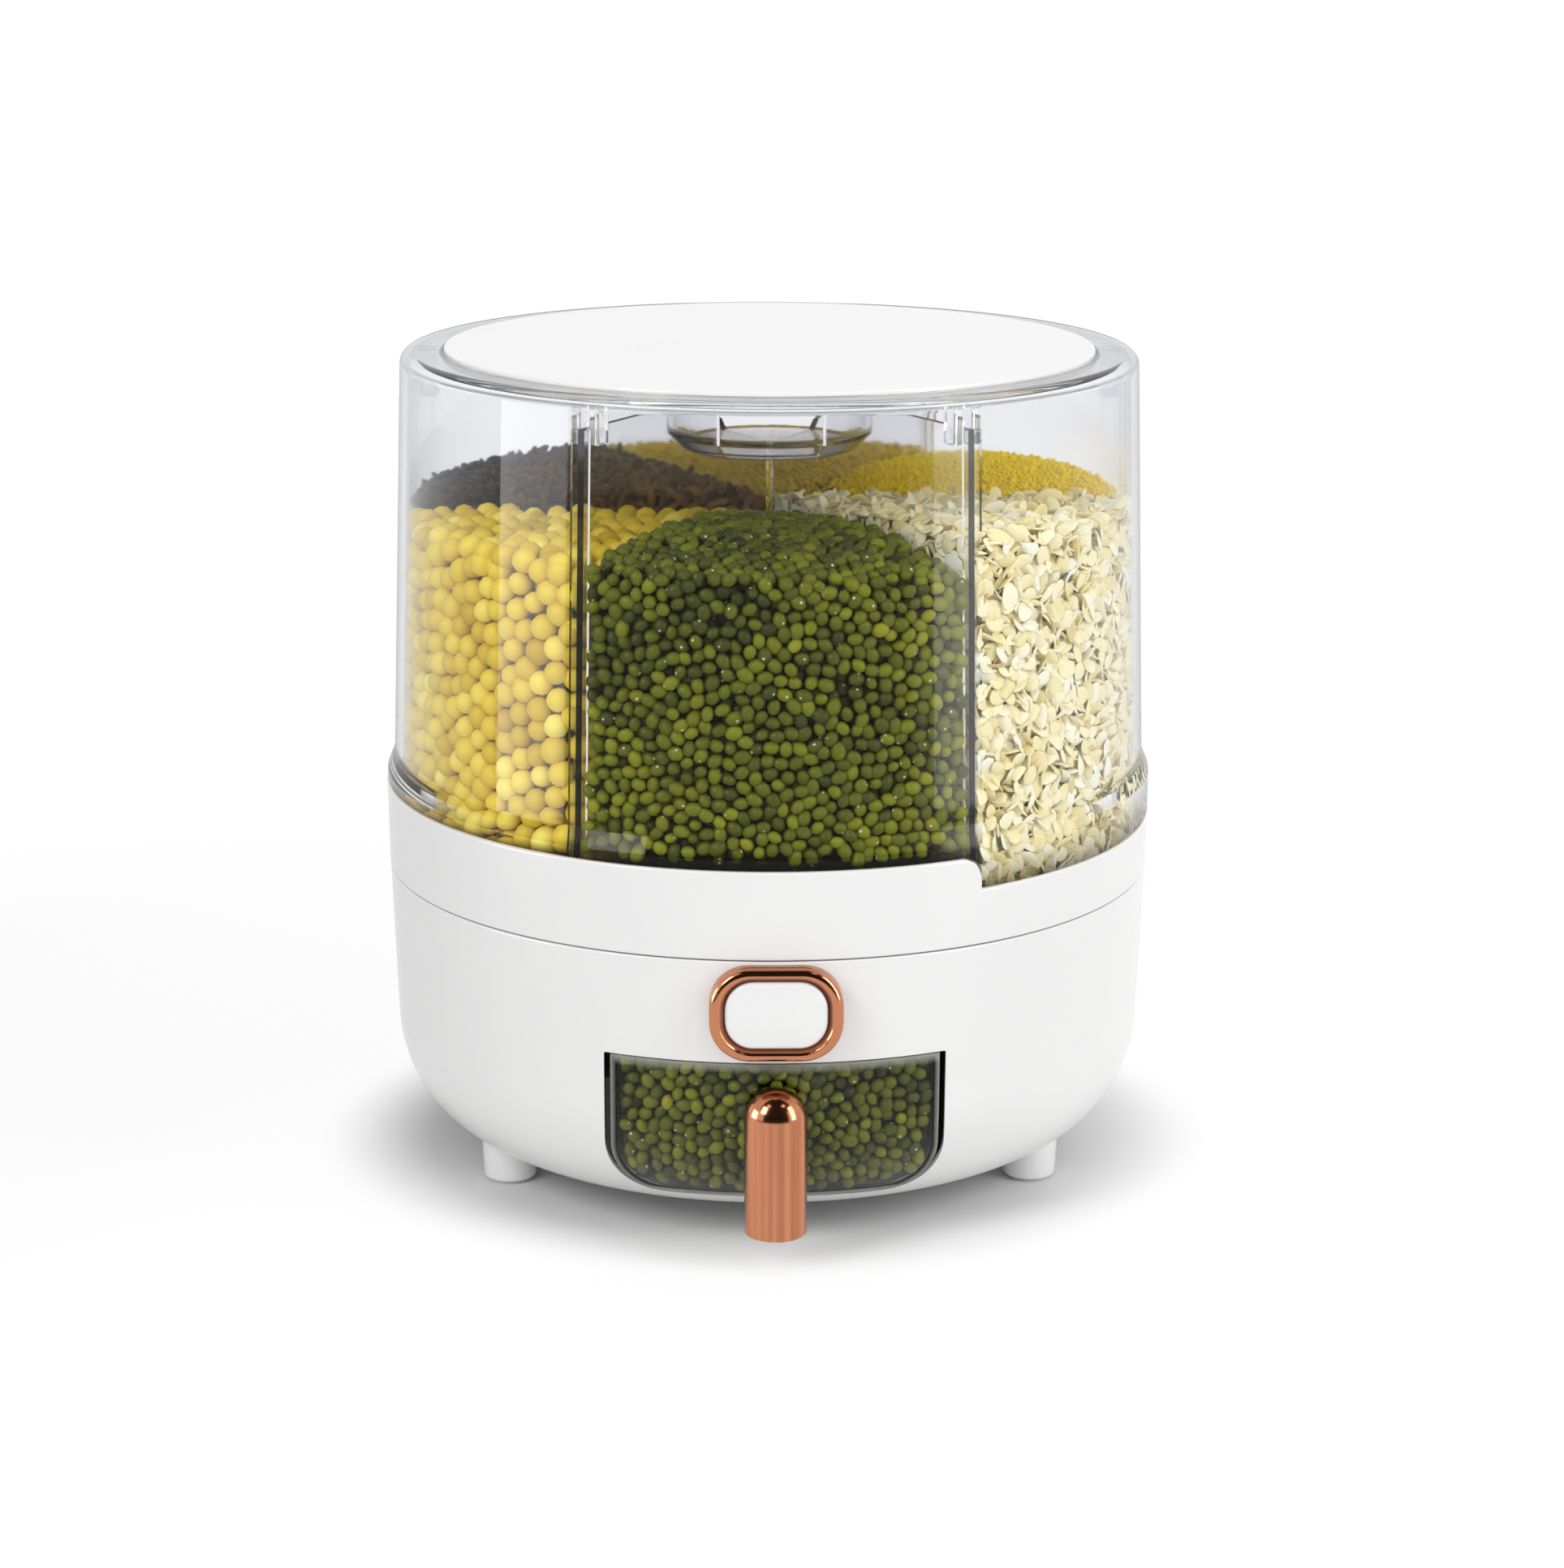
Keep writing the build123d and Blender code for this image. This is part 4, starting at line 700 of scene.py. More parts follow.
# One skin of the drawer on three grids that share their edges: the front, on the tub's surface moved in by
# the inset; the sides and bottom, straight lines from front to back; and the back. The top is open.
def drawerSkin(inset):
    d = drawer
    low, corner, halfW = d["bottom"] + inset, d["corner"] - inset, d["halfW"] - inset
    back = d["back"] - inset
    fall = np.linspace(0, 1, d["rows"])
    levels = d["top"] + (low - d["top"]) * np.sin(fall * np.pi / 2)
    across = np.linspace(-1, 1, d["columns"])
    half = outlineHalf(levels, halfW, low, corner)
    x = half[:, None] * across[None, :]
    z = levels[:, None]
    front = grid(x, tubFront(x, z, inset), z)
    rear = grid(x, back, z)
    edge = np.concatenate([front[:, 0], front[-1, 1:-1], front[::-1, -1]])
    share = np.linspace(0, 1, d["depthRows"])[:, None]
    sides = grid(edge[:, 0], edge[:, 1] + (back - edge[:, 1]) * share, edge[:, 2])
    rim = np.concatenate([front[0], sides[1:-1, -1], rear[0, ::-1], sides[-2:0:-1, 0]])
    return [gridSurface(front), gridSurface(sides), gridSurface(rear)], rim


# The drawer: an outer and an inner skin, joined by the rim, with softened edges.
def makeDrawer():
    outside, outerRim = drawerSkin(0.0)
    inside, innerRim = drawerSkin(drawer["wall"])
    rim = gridSurface(np.stack([outerRim, innerRim]), closeColumns=True)
    thing = meshObject("drawerBox", joinSurfaces(*outside, *inside, rim), mergeAt=2e-6)
    soft = thing.modifiers.new("softEdge", "BEVEL")
    soft.width = drawer["edge"]
    soft.segments = 2
    soft.limit_method = "ANGLE"
    soft.angle_limit = math.radians(50)
    workIn(thing, 50)
    return thing


# The drawer's front outline is marked for a painted highlight, so that its edge shows pale as if catching
# light.
def markEdgeHighlight(thing):
    x, y, z = pointsOf(thing).T.astype(float)
    d = drawer
    half = outlineHalf(np.clip(z, d["bottom"], d["top"]), d["halfW"], d["bottom"], d["corner"])
    w = d["glowWidth"]
    near = (np.abs(x) > half - w) | (z < d["bottom"] + w) | (z > d["top"] - w)
    glow = np.where(near & (y < tubFront(x, z, w)), d["glow"], 0.0)
    return markPoints(thing, "paintedEdgeHighlight", glow)


fitPiece(markEdgeHighlight(makeDrawer()), drawerClear, "drawer", "clear_plastic", "drawer_box")
handle = {"r": 9.0 * mm, "back": -117.6 * mm, "bottom": 11.0 * mm, "top": 55.0 * mm, "edge": 1.2 * mm,
          "backEdge": 0.9 * mm, "steps": 40, "neckW": 12.0 * mm, "neckLow": 31.0 * mm,
          "neckHigh": 50.0 * mm, "neckBite": 0.5 * mm, "neckGap": 0.02 * mm, "bowFrom": 0.1}


# The handle: a half-round section with softened back corners, carried up and drawn in to a quarter-sphere
# dome, and drawn in at the foot by its edge rounding.
def makeHandle():
    h = handle
    r = h["r"]
    bend = np.linspace(h["bowFrom"], np.pi - h["bowFrom"], h["steps"])
    e = h["backEdge"]
    turn = np.linspace(0, np.pi / 2, 5)
    right = np.stack([r - e + e * np.sin(turn), e * (np.cos(turn) - 1)], -1)
    bow = np.stack([r * np.cos(bend), -e - (r - e) * np.sin(bend)], -1)
    left = right[::-1] * [-1, 1]
    flat = np.stack([np.linspace(-(r - e), r - e, 8)[1:-1], np.zeros(6)], -1)
    section = np.concatenate([right, bow[1:-1], left, flat])
    lift = np.linspace(0, np.pi / 2, 6)
    rise = np.linspace(0, np.pi / 2, 22)
    dome = h["top"] - r
    scale = np.concatenate([[0], 1 - (h["edge"] / r) * (1 - np.sin(lift)), np.ones(8), np.cos(rise)])
    height = np.concatenate([[h["bottom"]], h["bottom"] + h["edge"] * (1 - np.cos(lift)),
                             np.linspace(h["bottom"] + h["edge"], dome, 10)[1:-1], dome + r * np.sin(rise)])
    across, deep = section[:, 0] * scale[:, None], section[:, 1] * scale[:, None]
    bar = gridSurface(grid(across, h["back"] + deep, height[:, None]), closeColumns=True)
    neckX = np.linspace(-1, 1, 9) * h["neckW"] / 2
    neckZ = np.linspace(h["neckLow"], h["neckHigh"], 9)
    x, z = np.meshgrid(neckX, neckZ)
    near = grid(x, h["back"] - h["neckBite"], z)
    far = grid(x, tubFront(x, z) - h["neckGap"], z)

    def around(sheet):
        return np.concatenate([sheet[0], sheet[1:-1, -1], sheet[-1, ::-1], sheet[-2:0:-1, 0]])

    side = gridSurface(np.stack([around(near), around(far)]), closeColumns=True)
    return meshObject("drawerHandle", joinSurfaces(bar, gridSurface(near), gridSurface(far), side))


fitPiece(makeHandle(), roseGoldBar, "drawer", "rose_gold_plating", "drawer_handle")

# Bezel and push button
bezel = {"w": 38.0 * mm, "h": 27.5 * mm, "corner": 11.5 * mm, "front": -121.6 * mm, "round": 2.0 * mm,
         "gap": 0.3 * mm, "funnel": 1.5 * mm, "crest": 0.5 * mm, "sleeveEnd": -114.4 * mm,
         "footSink": 0.3 * mm}


# The bezel: each point lies between an outer and an inner rounded rectangle. From its outer foot on the
# tub's surface it rounds over to a flat, then over a soft crest down a 45 degree slope to the inner wall,
# which goes back through the tub as a sleeve.
def makeBezel():
    b, s = bezel, buttonSize
    outer = roundedRectangle(b["w"], b["h"], b["corner"], s["z"])
    inner = roundedRectangle(s["w"] + 2 * b["gap"], s["h"] + 2 * b["gap"], s["corner"] + b["gap"], s["z"])
    inward = inner - outer
    width = np.linalg.norm(inward, axis=1)
    inward = inward / width[:, None]
    foot = tubFront(outer[:, 0], outer[:, 1]) + b["footSink"]
    swing = np.linspace(0, np.pi / 2, 12)
    bend = np.linspace(0, np.pi / 4, 5)
    crestStart = b["funnel"] + b["crest"] * math.tan(np.pi / 8)
    rounded = np.minimum(b["round"], width - crestStart)
    over = rounded[None] * (1 - np.cos(swing))[:, None]
    overDeep = b["front"] + b["round"] * (1 - np.sin(swing))[:, None] + 0 * width
    crest = width - crestStart + (b["crest"] * np.sin(bend))[:, None]
    crestDeep = b["front"] + (b["crest"] * (1 - np.cos(bend)))[:, None] + 0 * width
    across = np.concatenate([0 * over[:1], over, crest, width[None], width[None]])
    deep = np.concatenate([foot[None], overDeep, crestDeep, 0 * width[None] + b["front"] + b["funnel"],
                           0 * width[None] + b["sleeveEnd"]])
    flat = outer[None] + inward[None] * across[..., None]
    points = grid(flat[..., 0], deep, flat[..., 1])
    return meshObject("buttonBezel", gridSurface(points, closeRows=True, closeColumns=True), sharp=50)


fitPiece(makeBezel(), roseGold, "base", "rose_gold_plating", "button_bezel")
spring = {"wire": 0.6 * mm, "turns": 7, "steps": 168, "sides": 10, "sideGap": 0.6 * mm, "seatGap": 0.3 * mm}


# The button: rounded rectangles, drawn in over a rounded edge and then to the middle of a slightly crowned
# face. The back has a round bore for the spring, on evenly spaced angles.
def makeButton():
    b = buttonSize
    lift = np.linspace(0, np.pi / 2, 7)
    inset = np.concatenate([[0, 0], b["edge"] * (1 - np.cos(lift))])
    deep = np.concatenate([[b["back"], b["front"] + b["crown"] + b["edge"] + b["support"]],
                           b["front"] + b["crown"] + b["edge"] * (1 - np.sin(lift))])
    rings = [roundedRectangle(b["w"] - 2 * i, b["h"] - 2 * i, b["corner"] - i, b["z"]) for i in inset]
    middle = np.array([0, b["z"]])
    shrink = np.linspace(1, 0, 9)[1:]
    rings += [middle + (rings[-1] - middle) * s for s in shrink]
    deep = np.concatenate([deep, b["front"] + b["crown"] * shrink**2])
    flat = np.stack(rings)
    points = grid(flat[..., 0], deep[:, None], flat[..., 1])
    start = np.unwrap(np.arctan2(flat[0][:, 1] - b["z"], flat[0][:, 0]))
    even = start[0] + np.sign(start[-1] - start[0]) * np.linspace(0, 2 * np.pi, len(start), endpoint=False)
    around = np.stack([np.cos(even), np.sin(even)], -1)
    low, high = np.array(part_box("return_spring"))
    axis = np.array([0, (low[2] + high[2]) / 2])
    bore = (high[0] - low[0]) / 2 + spring["sideGap"]
    seat = low[1] - spring["seatGap"]
    rows = []
    for r, y in ((0, seat), (bore, seat), (bore, b["back"])):
        ring = axis + r * around
        rows.append(grid(ring[:, 0], y, ring[:, 1]))
    return meshObject("pushButton", gridSurface(np.concatenate([np.stack(rows), points]), closeColumns=True))


fitPiece(makeButton(), whitePlastic, "button", "white_plastic", "button_cap")


# The return spring: a small circle carried along a helix about the button's line of travel, closed at both
# ends. It stays with the base.
def makeSpring():
    low, high = np.array(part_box("return_spring"))
    wire = spring["wire"]
    r = (high[0] - low[0]) / 2 - wire
    along = np.linspace(0, 1, spring["steps"])
    turn = 2 * np.pi * spring["turns"] * along
    out = grid(np.cos(turn), 0.0, np.sin(turn))
    travel = grid(0.0, low[1] + wire + (high[1] - low[1] - 2 * wire) * along, 0.0)
    line = r * out + travel + [0, 0, (low[2] + high[2]) / 2]
    ahead = np.gradient(line, axis=0)
    ahead /= np.linalg.norm(ahead, axis=1, keepdims=True)
    side = np.cross(ahead, out)
    sweep = np.linspace(0, 2 * np.pi, spring["sides"], endpoint=False)[:, None]
    points = line[:, None] + wire * (np.cos(sweep) * out[:, None] + np.sin(sweep) * side[:, None])
    ends = [np.repeat(line[[end], None], spring["sides"], 1) for end in (0, -1)]
    points = np.concatenate([ends[0], points, ends[1]])
    return meshObject("returnSpring", gridSurface(points, closeColumns=True))


springPiece = fitPiece(makeSpring(), steel, "base", "steel", "return_spring")
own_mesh(springPiece)
print("drawer, handle, bezel, button and spring made")

# Loose dry food, only staged: it shows how the container is used and is not part of it
grain = bmesh.new()
bmesh.ops.create_icosphere(grain, subdivisions=2, radius=1.0)
grainPoints = np.array([v.co[:] for v in grain.verts])
grainFaces = np.array([[v.index for v in f.verts] for f in grain.faces])
grain.free()


# Points spread evenly but at random over a unit square that meets itself at its edges: each is pushed away
# from those nearer than the even spacing, a few dozen times.
def evenTile(count=700, rounds=32, reachShare=1.04, pushShare=0.45):
    points = random.random((count, 2))
    reach = reachShare * math.sqrt(2 / (math.sqrt(3) * count))
    for again in range(rounds):
        apart = points[:, None] - points[None]
        apart -= np.round(apart)
        far = np.linalg.norm(apart, axis=-1) + np.eye(count)
        push = np.clip(reach - far, 0, None) / far
        points = (points + pushShare * (apart * push[..., None]).sum(1)) % 1
    return points


tile = evenTile()


# Copies of the even tile side by side, at a spacing, cut to a width and a height.
def evenPatch(width, height, spacing):
    side = spacing * math.sqrt(len(tile) * math.sqrt(3) / 2)
    columns, rows = math.ceil(width / side) + 1, math.ceil(height / side) + 1
    corner = np.stack(np.meshgrid(np.arange(columns), np.arange(rows)), -1).reshape(-1, 1, 2)
    points = ((corner + tile) * side).reshape(-1, 2) - random.random(2) * side
    return points[(points > 0).all(1) & (points[:, 0] < width) & (points[:, 1] < height)]


# Grains at places: the unit ball stretched to three half sizes, curled along its length, and turned so that
# its thin way lies near the given normal and its length points anywhere across it.
def grainSurface(places, normals, look):
    count = len(places)
    thin = normals + look["tilt"] * random.normal(size=(count, 3))
    thin /= np.linalg.norm(thin, axis=1)[:, None]
    along = random.normal(size=(count, 3))
    along -= (along * thin).sum(1)[:, None] * thin
    along /= np.linalg.norm(along, axis=1)[:, None]
    axes = np.stack([along, np.cross(thin, along), thin], -1)
    half = np.array(look["half"]) * (1 + look["vary"] * random.normal(size=(count, 1)))
    shape = grainPoints[None] * half[:, None]
    curl = look["curl"] * random.normal(size=(count, 1)) * half[:, :1]
    shape[..., 2] += curl * (grainPoints[None, :, 0] ** 2 - 0.3)
    points = places[:, None] + np.einsum("nij,nvj->nvi", axes, shape)
    faces = grainFaces[None] + (np.arange(count) * len(grainPoints))[:, None, None]
    return points.reshape(-1, 3), faces.reshape(-1, 3)


# Slow waves in place, for patches of lighter and darker grains, between -1 and 1.
def patches(places, waves=5, pitch=0.03, turn=6.3, gain=1.6):
    pull = random.normal(size=(3, waves)) / pitch
    return np.sin(places @ pull + random.random(waves) * turn).mean(1) * gain


# Colours along each food's ramp are given as 0 to 255 and turned into linear light.
def tint(red, green, blue):
    shares = (np.array([red, green, blue]) / 255 + 0.055) / 1.055
    return (*(shares**2.4).tolist(), 1.0)


foodSkin = {"speckScale": 260.0, "speckTone": (225, 225, 205), "speckFrom": 0.12, "speckTo": 0.07,
            "bumpDepth": 0.0004, "glare": 0.18}


# Grain skin: a ramp by each grain's own tone, broken up by fine noise, with pale specks and a fine relief.
def foodMaterial(name, look):
    material, tree, shader = newMaterial(name)
    tone = newNode(tree, "Attribute", attribute_name="grainTone")
    ramp = newNode(tree, "ValToRGB")
    stops = ramp.color_ramp.elements
    stops[0].position, stops[0].color = 0.0, tint(*look["ramp"][0])
    stops[1].position, stops[1].color = 1.0, tint(*look["ramp"][-1])
    for step, colour in enumerate(look["ramp"][1:-1], 1):
        stops.new(step / (len(look["ramp"]) - 1)).color = tint(*colour)
    place = newNode(tree, "TexCoord")
    noise = newNode(tree, "TexNoise", {"Scale": look["noiseScale"], "Detail": 3.0})
    shift = newNode(tree, "Math", {1: look["noise"]}, operation="MULTIPLY_ADD")
    specks = newNode(tree, "TexVoronoi", {"Scale": foodSkin["speckScale"]})
    spot = newNode(tree, "MapRange", {"From Min": foodSkin["speckFrom"], "From Max": foodSkin["speckTo"],
                                      "To Max": look["specks"]})
    blend = newNode(tree, "Mix", {"B": tint(*foodSkin["speckTone"])}, data_type="RGBA")
    relief = newNode(tree, "Bump", {"Strength": look["bump"], "Distance": foodSkin["bumpDepth"]})
    link(place, "Object", noise, "Vector")
    link(place, "Object", specks, "Vector")
    link(noise, "Fac", shift, 0)
    link(tone, "Fac", shift, 2)
    link(shift, "Value", ramp, "Fac")
    link(ramp, "Color", blend, "A")
    link(specks, "Distance", spot, "Value")
    link(spot, "Result", blend, "Factor")
    link(blend, "Result", shader, "Base Color")
    link(noise, "Fac", relief, "Height")
    link(relief, "Normal", shader, "Normal")
    setInputs(shader, {"Roughness": look["roughness"], "Specular IOR Level": foodSkin["glare"]})
    return material


# A heap and its grains become staged objects that ride on a body; each grain's tone goes into its points,
# and the hold keeps them inside the walls. The core's dark tone is painted shade in the gaps between grains,
# and the tone shift carries painted shade that darkens deeper grains, and for black rice a tone that changes
# towards the middle.
def stageFood(name, core, places, normals, shadeAndToneShift, look, body, hold):
    material = foodMaterial(name + "Skin", look)
    things = [meshObject(name + "Core", core, sharp=0)]
    tones = [np.full(len(things[0].data.vertices), look["coreShadeTone"])]
    if len(places):
        vertices, faces = grainSurface(places, normals, look)
        thing = meshObject(name + "Grains", (hold(vertices), faces), sharp=0, mergeAt=0)
        each = 0.5 + look["spread"] * random.normal(size=len(places))
        each = each + look["patchy"] * patches(places) + shadeAndToneShift
        things.append(thing)
        tones.append(np.repeat(np.clip(each, 0, 1), len(grainPoints)))
    for thing, tone in zip(things, tones):
        markPoints(thing, "grainTone", tone)
        thing.data.materials.append(material)
        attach(thing, body)


# A compartment in its own coordinates, u outward along its middle and v across: the inner corner moves out
# and the wall in by a margin, and the reach is the way from that corner to the wall in a direction.
compartment = {"floor": 103.3 * mm, "halfWeb": 1.0 * mm, "half": math.radians(30.0), "wallR": 113 * mm,
               "toneR": 112 * mm, "wallW": 130 * mm, "fillH": 125 * mm, "topDeep": 116 * mm,
               "topW": 126 * mm, "sideDeep": 114 * mm, "topZ": 205 * mm, "midZ": 200 * mm,
               "wallGap": 0.15 * mm, "sideGap": 0.1 * mm, "coreOut": 0.4, "columns": 40, "floorRows": 12,
               "wallRows": 10, "topRows": 48}


def compartmentReach(turn, z, margin):
    shift = (compartment["halfWeb"] + margin) / math.sin(compartment["half"])
    wall = drumOuter(z) - drum["wall"] - margin
    return shift, np.sqrt(np.maximum(wall**2 - (shift * np.sin(turn)) ** 2, 0)) - shift * np.cos(turn)


# Points past the wall or a divider go back to it, as loose pieces settle against it.
def heldIn(points, angle):
    a = math.radians(angle)
    turn = np.array([[math.cos(a), -math.sin(a), 0], [math.sin(a), math.cos(a), 0], [0, 0, 1]])
    local = points @ turn
    wall = drumOuter(local[:, 2]) - drum["wall"] - compartment["wallGap"]
    local[:, :2] *= np.minimum(1, wall / np.hypot(local[:, 0], local[:, 1]))[:, None]
    for side in (-1, 1):
        out = np.array([-math.sin(compartment["half"]), side * math.cos(compartment["half"])])
        past = np.maximum(local[:, :2] @ out + compartment["halfWeb"] + compartment["sideGap"], 0)
        local[:, :2] -= past[:, None] * out
    return local @ turn.T


# The heap's own body: floor, wall, sides and the heaped top, as a profile carried round the inner corner.
def heapCore(look, margin):
    c = compartment
    turns = np.linspace(-c["half"], c["half"], c["columns"])
    floor, wall, over = c["floorRows"], c["wallRows"], c["topRows"]
    out = np.concatenate([np.linspace(0, 1, floor), np.ones(wall), np.linspace(1, 0, over)[1:]])
    lift = np.concatenate([np.zeros(floor), np.linspace(0, 1, wall + 1)[1:], np.ones(over - 1)])
    shift, far = compartmentReach(turns, c["midZ"], margin)
    u = shift + out[:, None] * far * np.cos(turns)
    v = out[:, None] * far * np.sin(turns)
    top = look["heap"](u / mm, v / mm) * mm - margin
    z = c["floor"] + lift[:, None] * (top - c["floor"])
    points = turnedOut(u, v, z, look["angle"])
    middle = np.zeros((len(out), 1, 3))
    ends = [middle + points[:, side].mean(0) for side in (0, -1)]
    return gridSurface(np.concatenate([ends[0], points, ends[1]], 1), closeRows=True)


# Places with their normal and depth, of those grains that are kept.
def keptGrains(places, normal, keep, depth=0.0):
    return places[keep], np.broadcast_to(normal, places.shape)[keep], np.full(keep.sum(), depth)


# Grains in layers on the wall, on the heaped top and along both dividers.
def compartmentGrains(look):
    c = compartment
    gap, size, angle = look["spacing"], look["half"][2], look["angle"]
    grains = []
    for layer in range(look["layers"]):
        margin = size + layer * look["layerStep"]
        patch = evenPatch(c["wallW"], c["fillH"], gap) + [-c["wallW"] / 2, look["low"]]
        turn, z = patch[:, 0] / c["wallR"], patch[:, 1]
        wall = drumOuter(z) - drum["wall"] - margin - look["loose"] * random.random(len(z))
        u, v = wall * np.cos(turn), wall * np.sin(turn)
        top = look["heap"](u / mm, v / mm) * mm
        shift, far = compartmentReach(0.0, z, margin)
        keep = (np.abs(np.arctan2(v, u - shift)) < c["half"]) & (z < top - margin)
        outward = turnedOut(np.cos(turn), np.sin(turn), 0.0, angle)
        grains.append(keptGrains(turnedOut(u, v, z, angle), outward, keep, layer))
        patch = evenPatch(c["topDeep"], c["topW"], gap) - [0, c["topW"] / 2]
        u, v = patch[:, 0], patch[:, 1]
        shift, far = compartmentReach(np.arctan2(v, u - shift), c["topZ"], margin)
        inside = (np.abs(np.arctan2(v, u - shift)) < c["half"]) & (np.hypot(u - shift, v) < far)
        z = look["heap"](u / mm, v / mm) * mm - margin + look["loose"] * random.random(len(u))
        grains.append(keptGrains(turnedOut(u, v, z, angle), (0.0, 0.0, 1.0), inside, layer))
    for side in (-1, 1):
        patch = evenPatch(c["sideDeep"], c["fillH"], gap) + [0, look["low"]]
        turn = side * c["half"]
        shift, far = compartmentReach(turn, c["midZ"], size)
        u, v, z = shift + patch[:, 0] * math.cos(turn), patch[:, 0] * math.sin(turn), patch[:, 1]
        keep = (patch[:, 0] < far) & (z < look["heap"](u / mm, v / mm) * mm - size)
        across = turnedOut(-math.sin(turn), math.cos(turn), 0.0, angle)
        grains.append(keptGrains(turnedOut(u, v, z, angle), across, keep))
    return [np.concatenate(part) for part in zip(*grains)]


# What most of the foods share; each one then gives its own sizes in metres, colours and heap. A heap's
# formula gives its height in millimetres from u and v.
# The core's tone and each food's deep tone are painted shade: they darken the heap's core, showing in the
# gaps between grains, and its deeper layers.
anyGrain = {"layers": 2, "low": 106 * mm, "patchy": 0.12, "coreShadeTone": 0.0, "noiseScale": 500.0, "curl": 0.0,
            "specks": 0.0, "inwardTone": 0.0}
soyBeans = dict(
    anyGrain, angle=210, half=(3.9 * mm, 3.7 * mm, 3.6 * mm), spacing=7.2 * mm, layerStep=5.4 * mm,
    loose=1.2 * mm, vary=0.05, tilt=1.0, spread=0.2, deepShadeTone=0.25, noise=0.12, noiseScale=260.0, bump=0.1,
    roughness=0.42,
    ramp=[(196, 160, 20), (218, 186, 40), (238, 210, 62), (250, 232, 104)],
    heap=lambda u, v: 201 + 0.01 * u + 0.01 * v)
mungBeans = dict(
    anyGrain, angle=270, half=(2.5 * mm, 1.95 * mm, 1.9 * mm), spacing=4.35 * mm, layerStep=3.2 * mm,
    loose=0.8 * mm, vary=0.07, tilt=0.5, low=119.5 * mm, spread=0.15, patchy=0.18, deepShadeTone=0.3, noise=0.1,
    noiseScale=420.0, specks=0.8, bump=0.08, roughness=0.34,
    ramp=[(34, 40, 3), (60, 67, 5), (92, 98, 10), (120, 124, 16), (142, 140, 26)],
    heap=lambda u, v: 207 - 8.5 * ((u - 60) / 53) ** 2 - 3.6 * (v / 50) ** 2 - 0.03 * v)
oatFlakes = dict(
    anyGrain, angle=330, half=(3.6 * mm, 2.5 * mm, 0.4 * mm), spacing=4.2 * mm, layers=3,
    layerStep=1.7 * mm, loose=2.2 * mm, vary=0.18, tilt=0.7, curl=0.22, spread=0.22, patchy=0.1,
    deepShadeTone=0.12, noise=0.2, bump=0.35, roughness=0.7,
    ramp=[(176, 152, 84), (246, 232, 172), (255, 246, 202), (255, 253, 232)],
    heap=lambda u, v: 203.5 + 0.01 * u - 0.04 * v)
blackRice = dict(
    anyGrain, angle=150, half=(3.3 * mm, 1.2 * mm, 1.1 * mm), spacing=3.6 * mm, layerStep=1.6 * mm,
    loose=1.0 * mm, vary=0.1, tilt=0.6, spread=0.14, patchy=0.1, coreShadeTone=0.1, deepShadeTone=0.1, inwardTone=0.8,
    noise=0.16, bump=0.2, roughness=0.5,
    ramp=[(28, 26, 28), (42, 38, 40), (104, 70, 38), (160, 108, 56)],
    heap=lambda u, v: 204.5 + 0.0 * u)
brownGrain = dict(
    anyGrain, angle=90, half=(1.7 * mm, 1.2 * mm, 1.1 * mm), spacing=2.7 * mm, layerStep=1.6 * mm,
    loose=0.8 * mm, vary=0.1, tilt=0.8, spread=0.2, coreShadeTone=0.2, deepShadeTone=0.2, noise=0.2, bump=0.2,
    roughness=0.6,
    ramp=[(168, 134, 22), (220, 184, 46), (238, 208, 70), (250, 226, 104)],
    heap=lambda u, v: 203.5 + 0.0 * u)
cornGrits = dict(
    anyGrain, angle=30, half=(0.8 * mm, 0.7 * mm, 0.6 * mm), spacing=1.9 * mm, layers=1, layerStep=1.0 * mm,
    loose=0.5 * mm, vary=0.25, tilt=1.0, spread=0.16, coreShadeTone=0.5, deepShadeTone=0.0, noise=0.3, noiseScale=900.0,
    bump=0.6, roughness=0.75,
    ramp=[(244, 190, 0), (254, 216, 0), (255, 228, 8), (255, 238, 50)],
    heap=lambda u, v: 205 - 9 * np.exp(-((u / 30) ** 2)) - 3 * np.abs(v / 50) ** 3)
foods = {"soyBeans": soyBeans, "mungBeans": mungBeans, "oatFlakes": oatFlakes, "blackRice": blackRice,
         "brownGrain": brownGrain, "cornGrits": cornGrits}
for name, look in foods.items():
    places, normals, depths = compartmentGrains(look)
    # Deeper layers are darker, as painted shade; black rice alone also shifts its tone towards the middle.
    inward = 1 - np.hypot(places[:, 0], places[:, 1]) / compartment["toneR"]
    shift = look["inwardTone"] * (inward - 0.5) - look["deepShadeTone"] * depths
    core = heapCore(look, look["half"][2] + look["layerStep"] * (look["layers"] - compartment["coreOut"]))
    stageFood(name, core, places, normals, shift, look, "drum", lambda points: heldIn(points, look["angle"]))
    print(name, len(places), "grains")

drawerBeans = dict(
    mungBeans, half=(2.4 * mm, 1.85 * mm, 1.8 * mm), spacing=4.2 * mm, below=1.5 * mm, front=117 * mm,
    deep=95 * mm, coreIn=4.4 * mm, coreBelow=4.5 * mm, darker=0.14, deepFrom=2.4 * mm, gap=0.1 * mm)
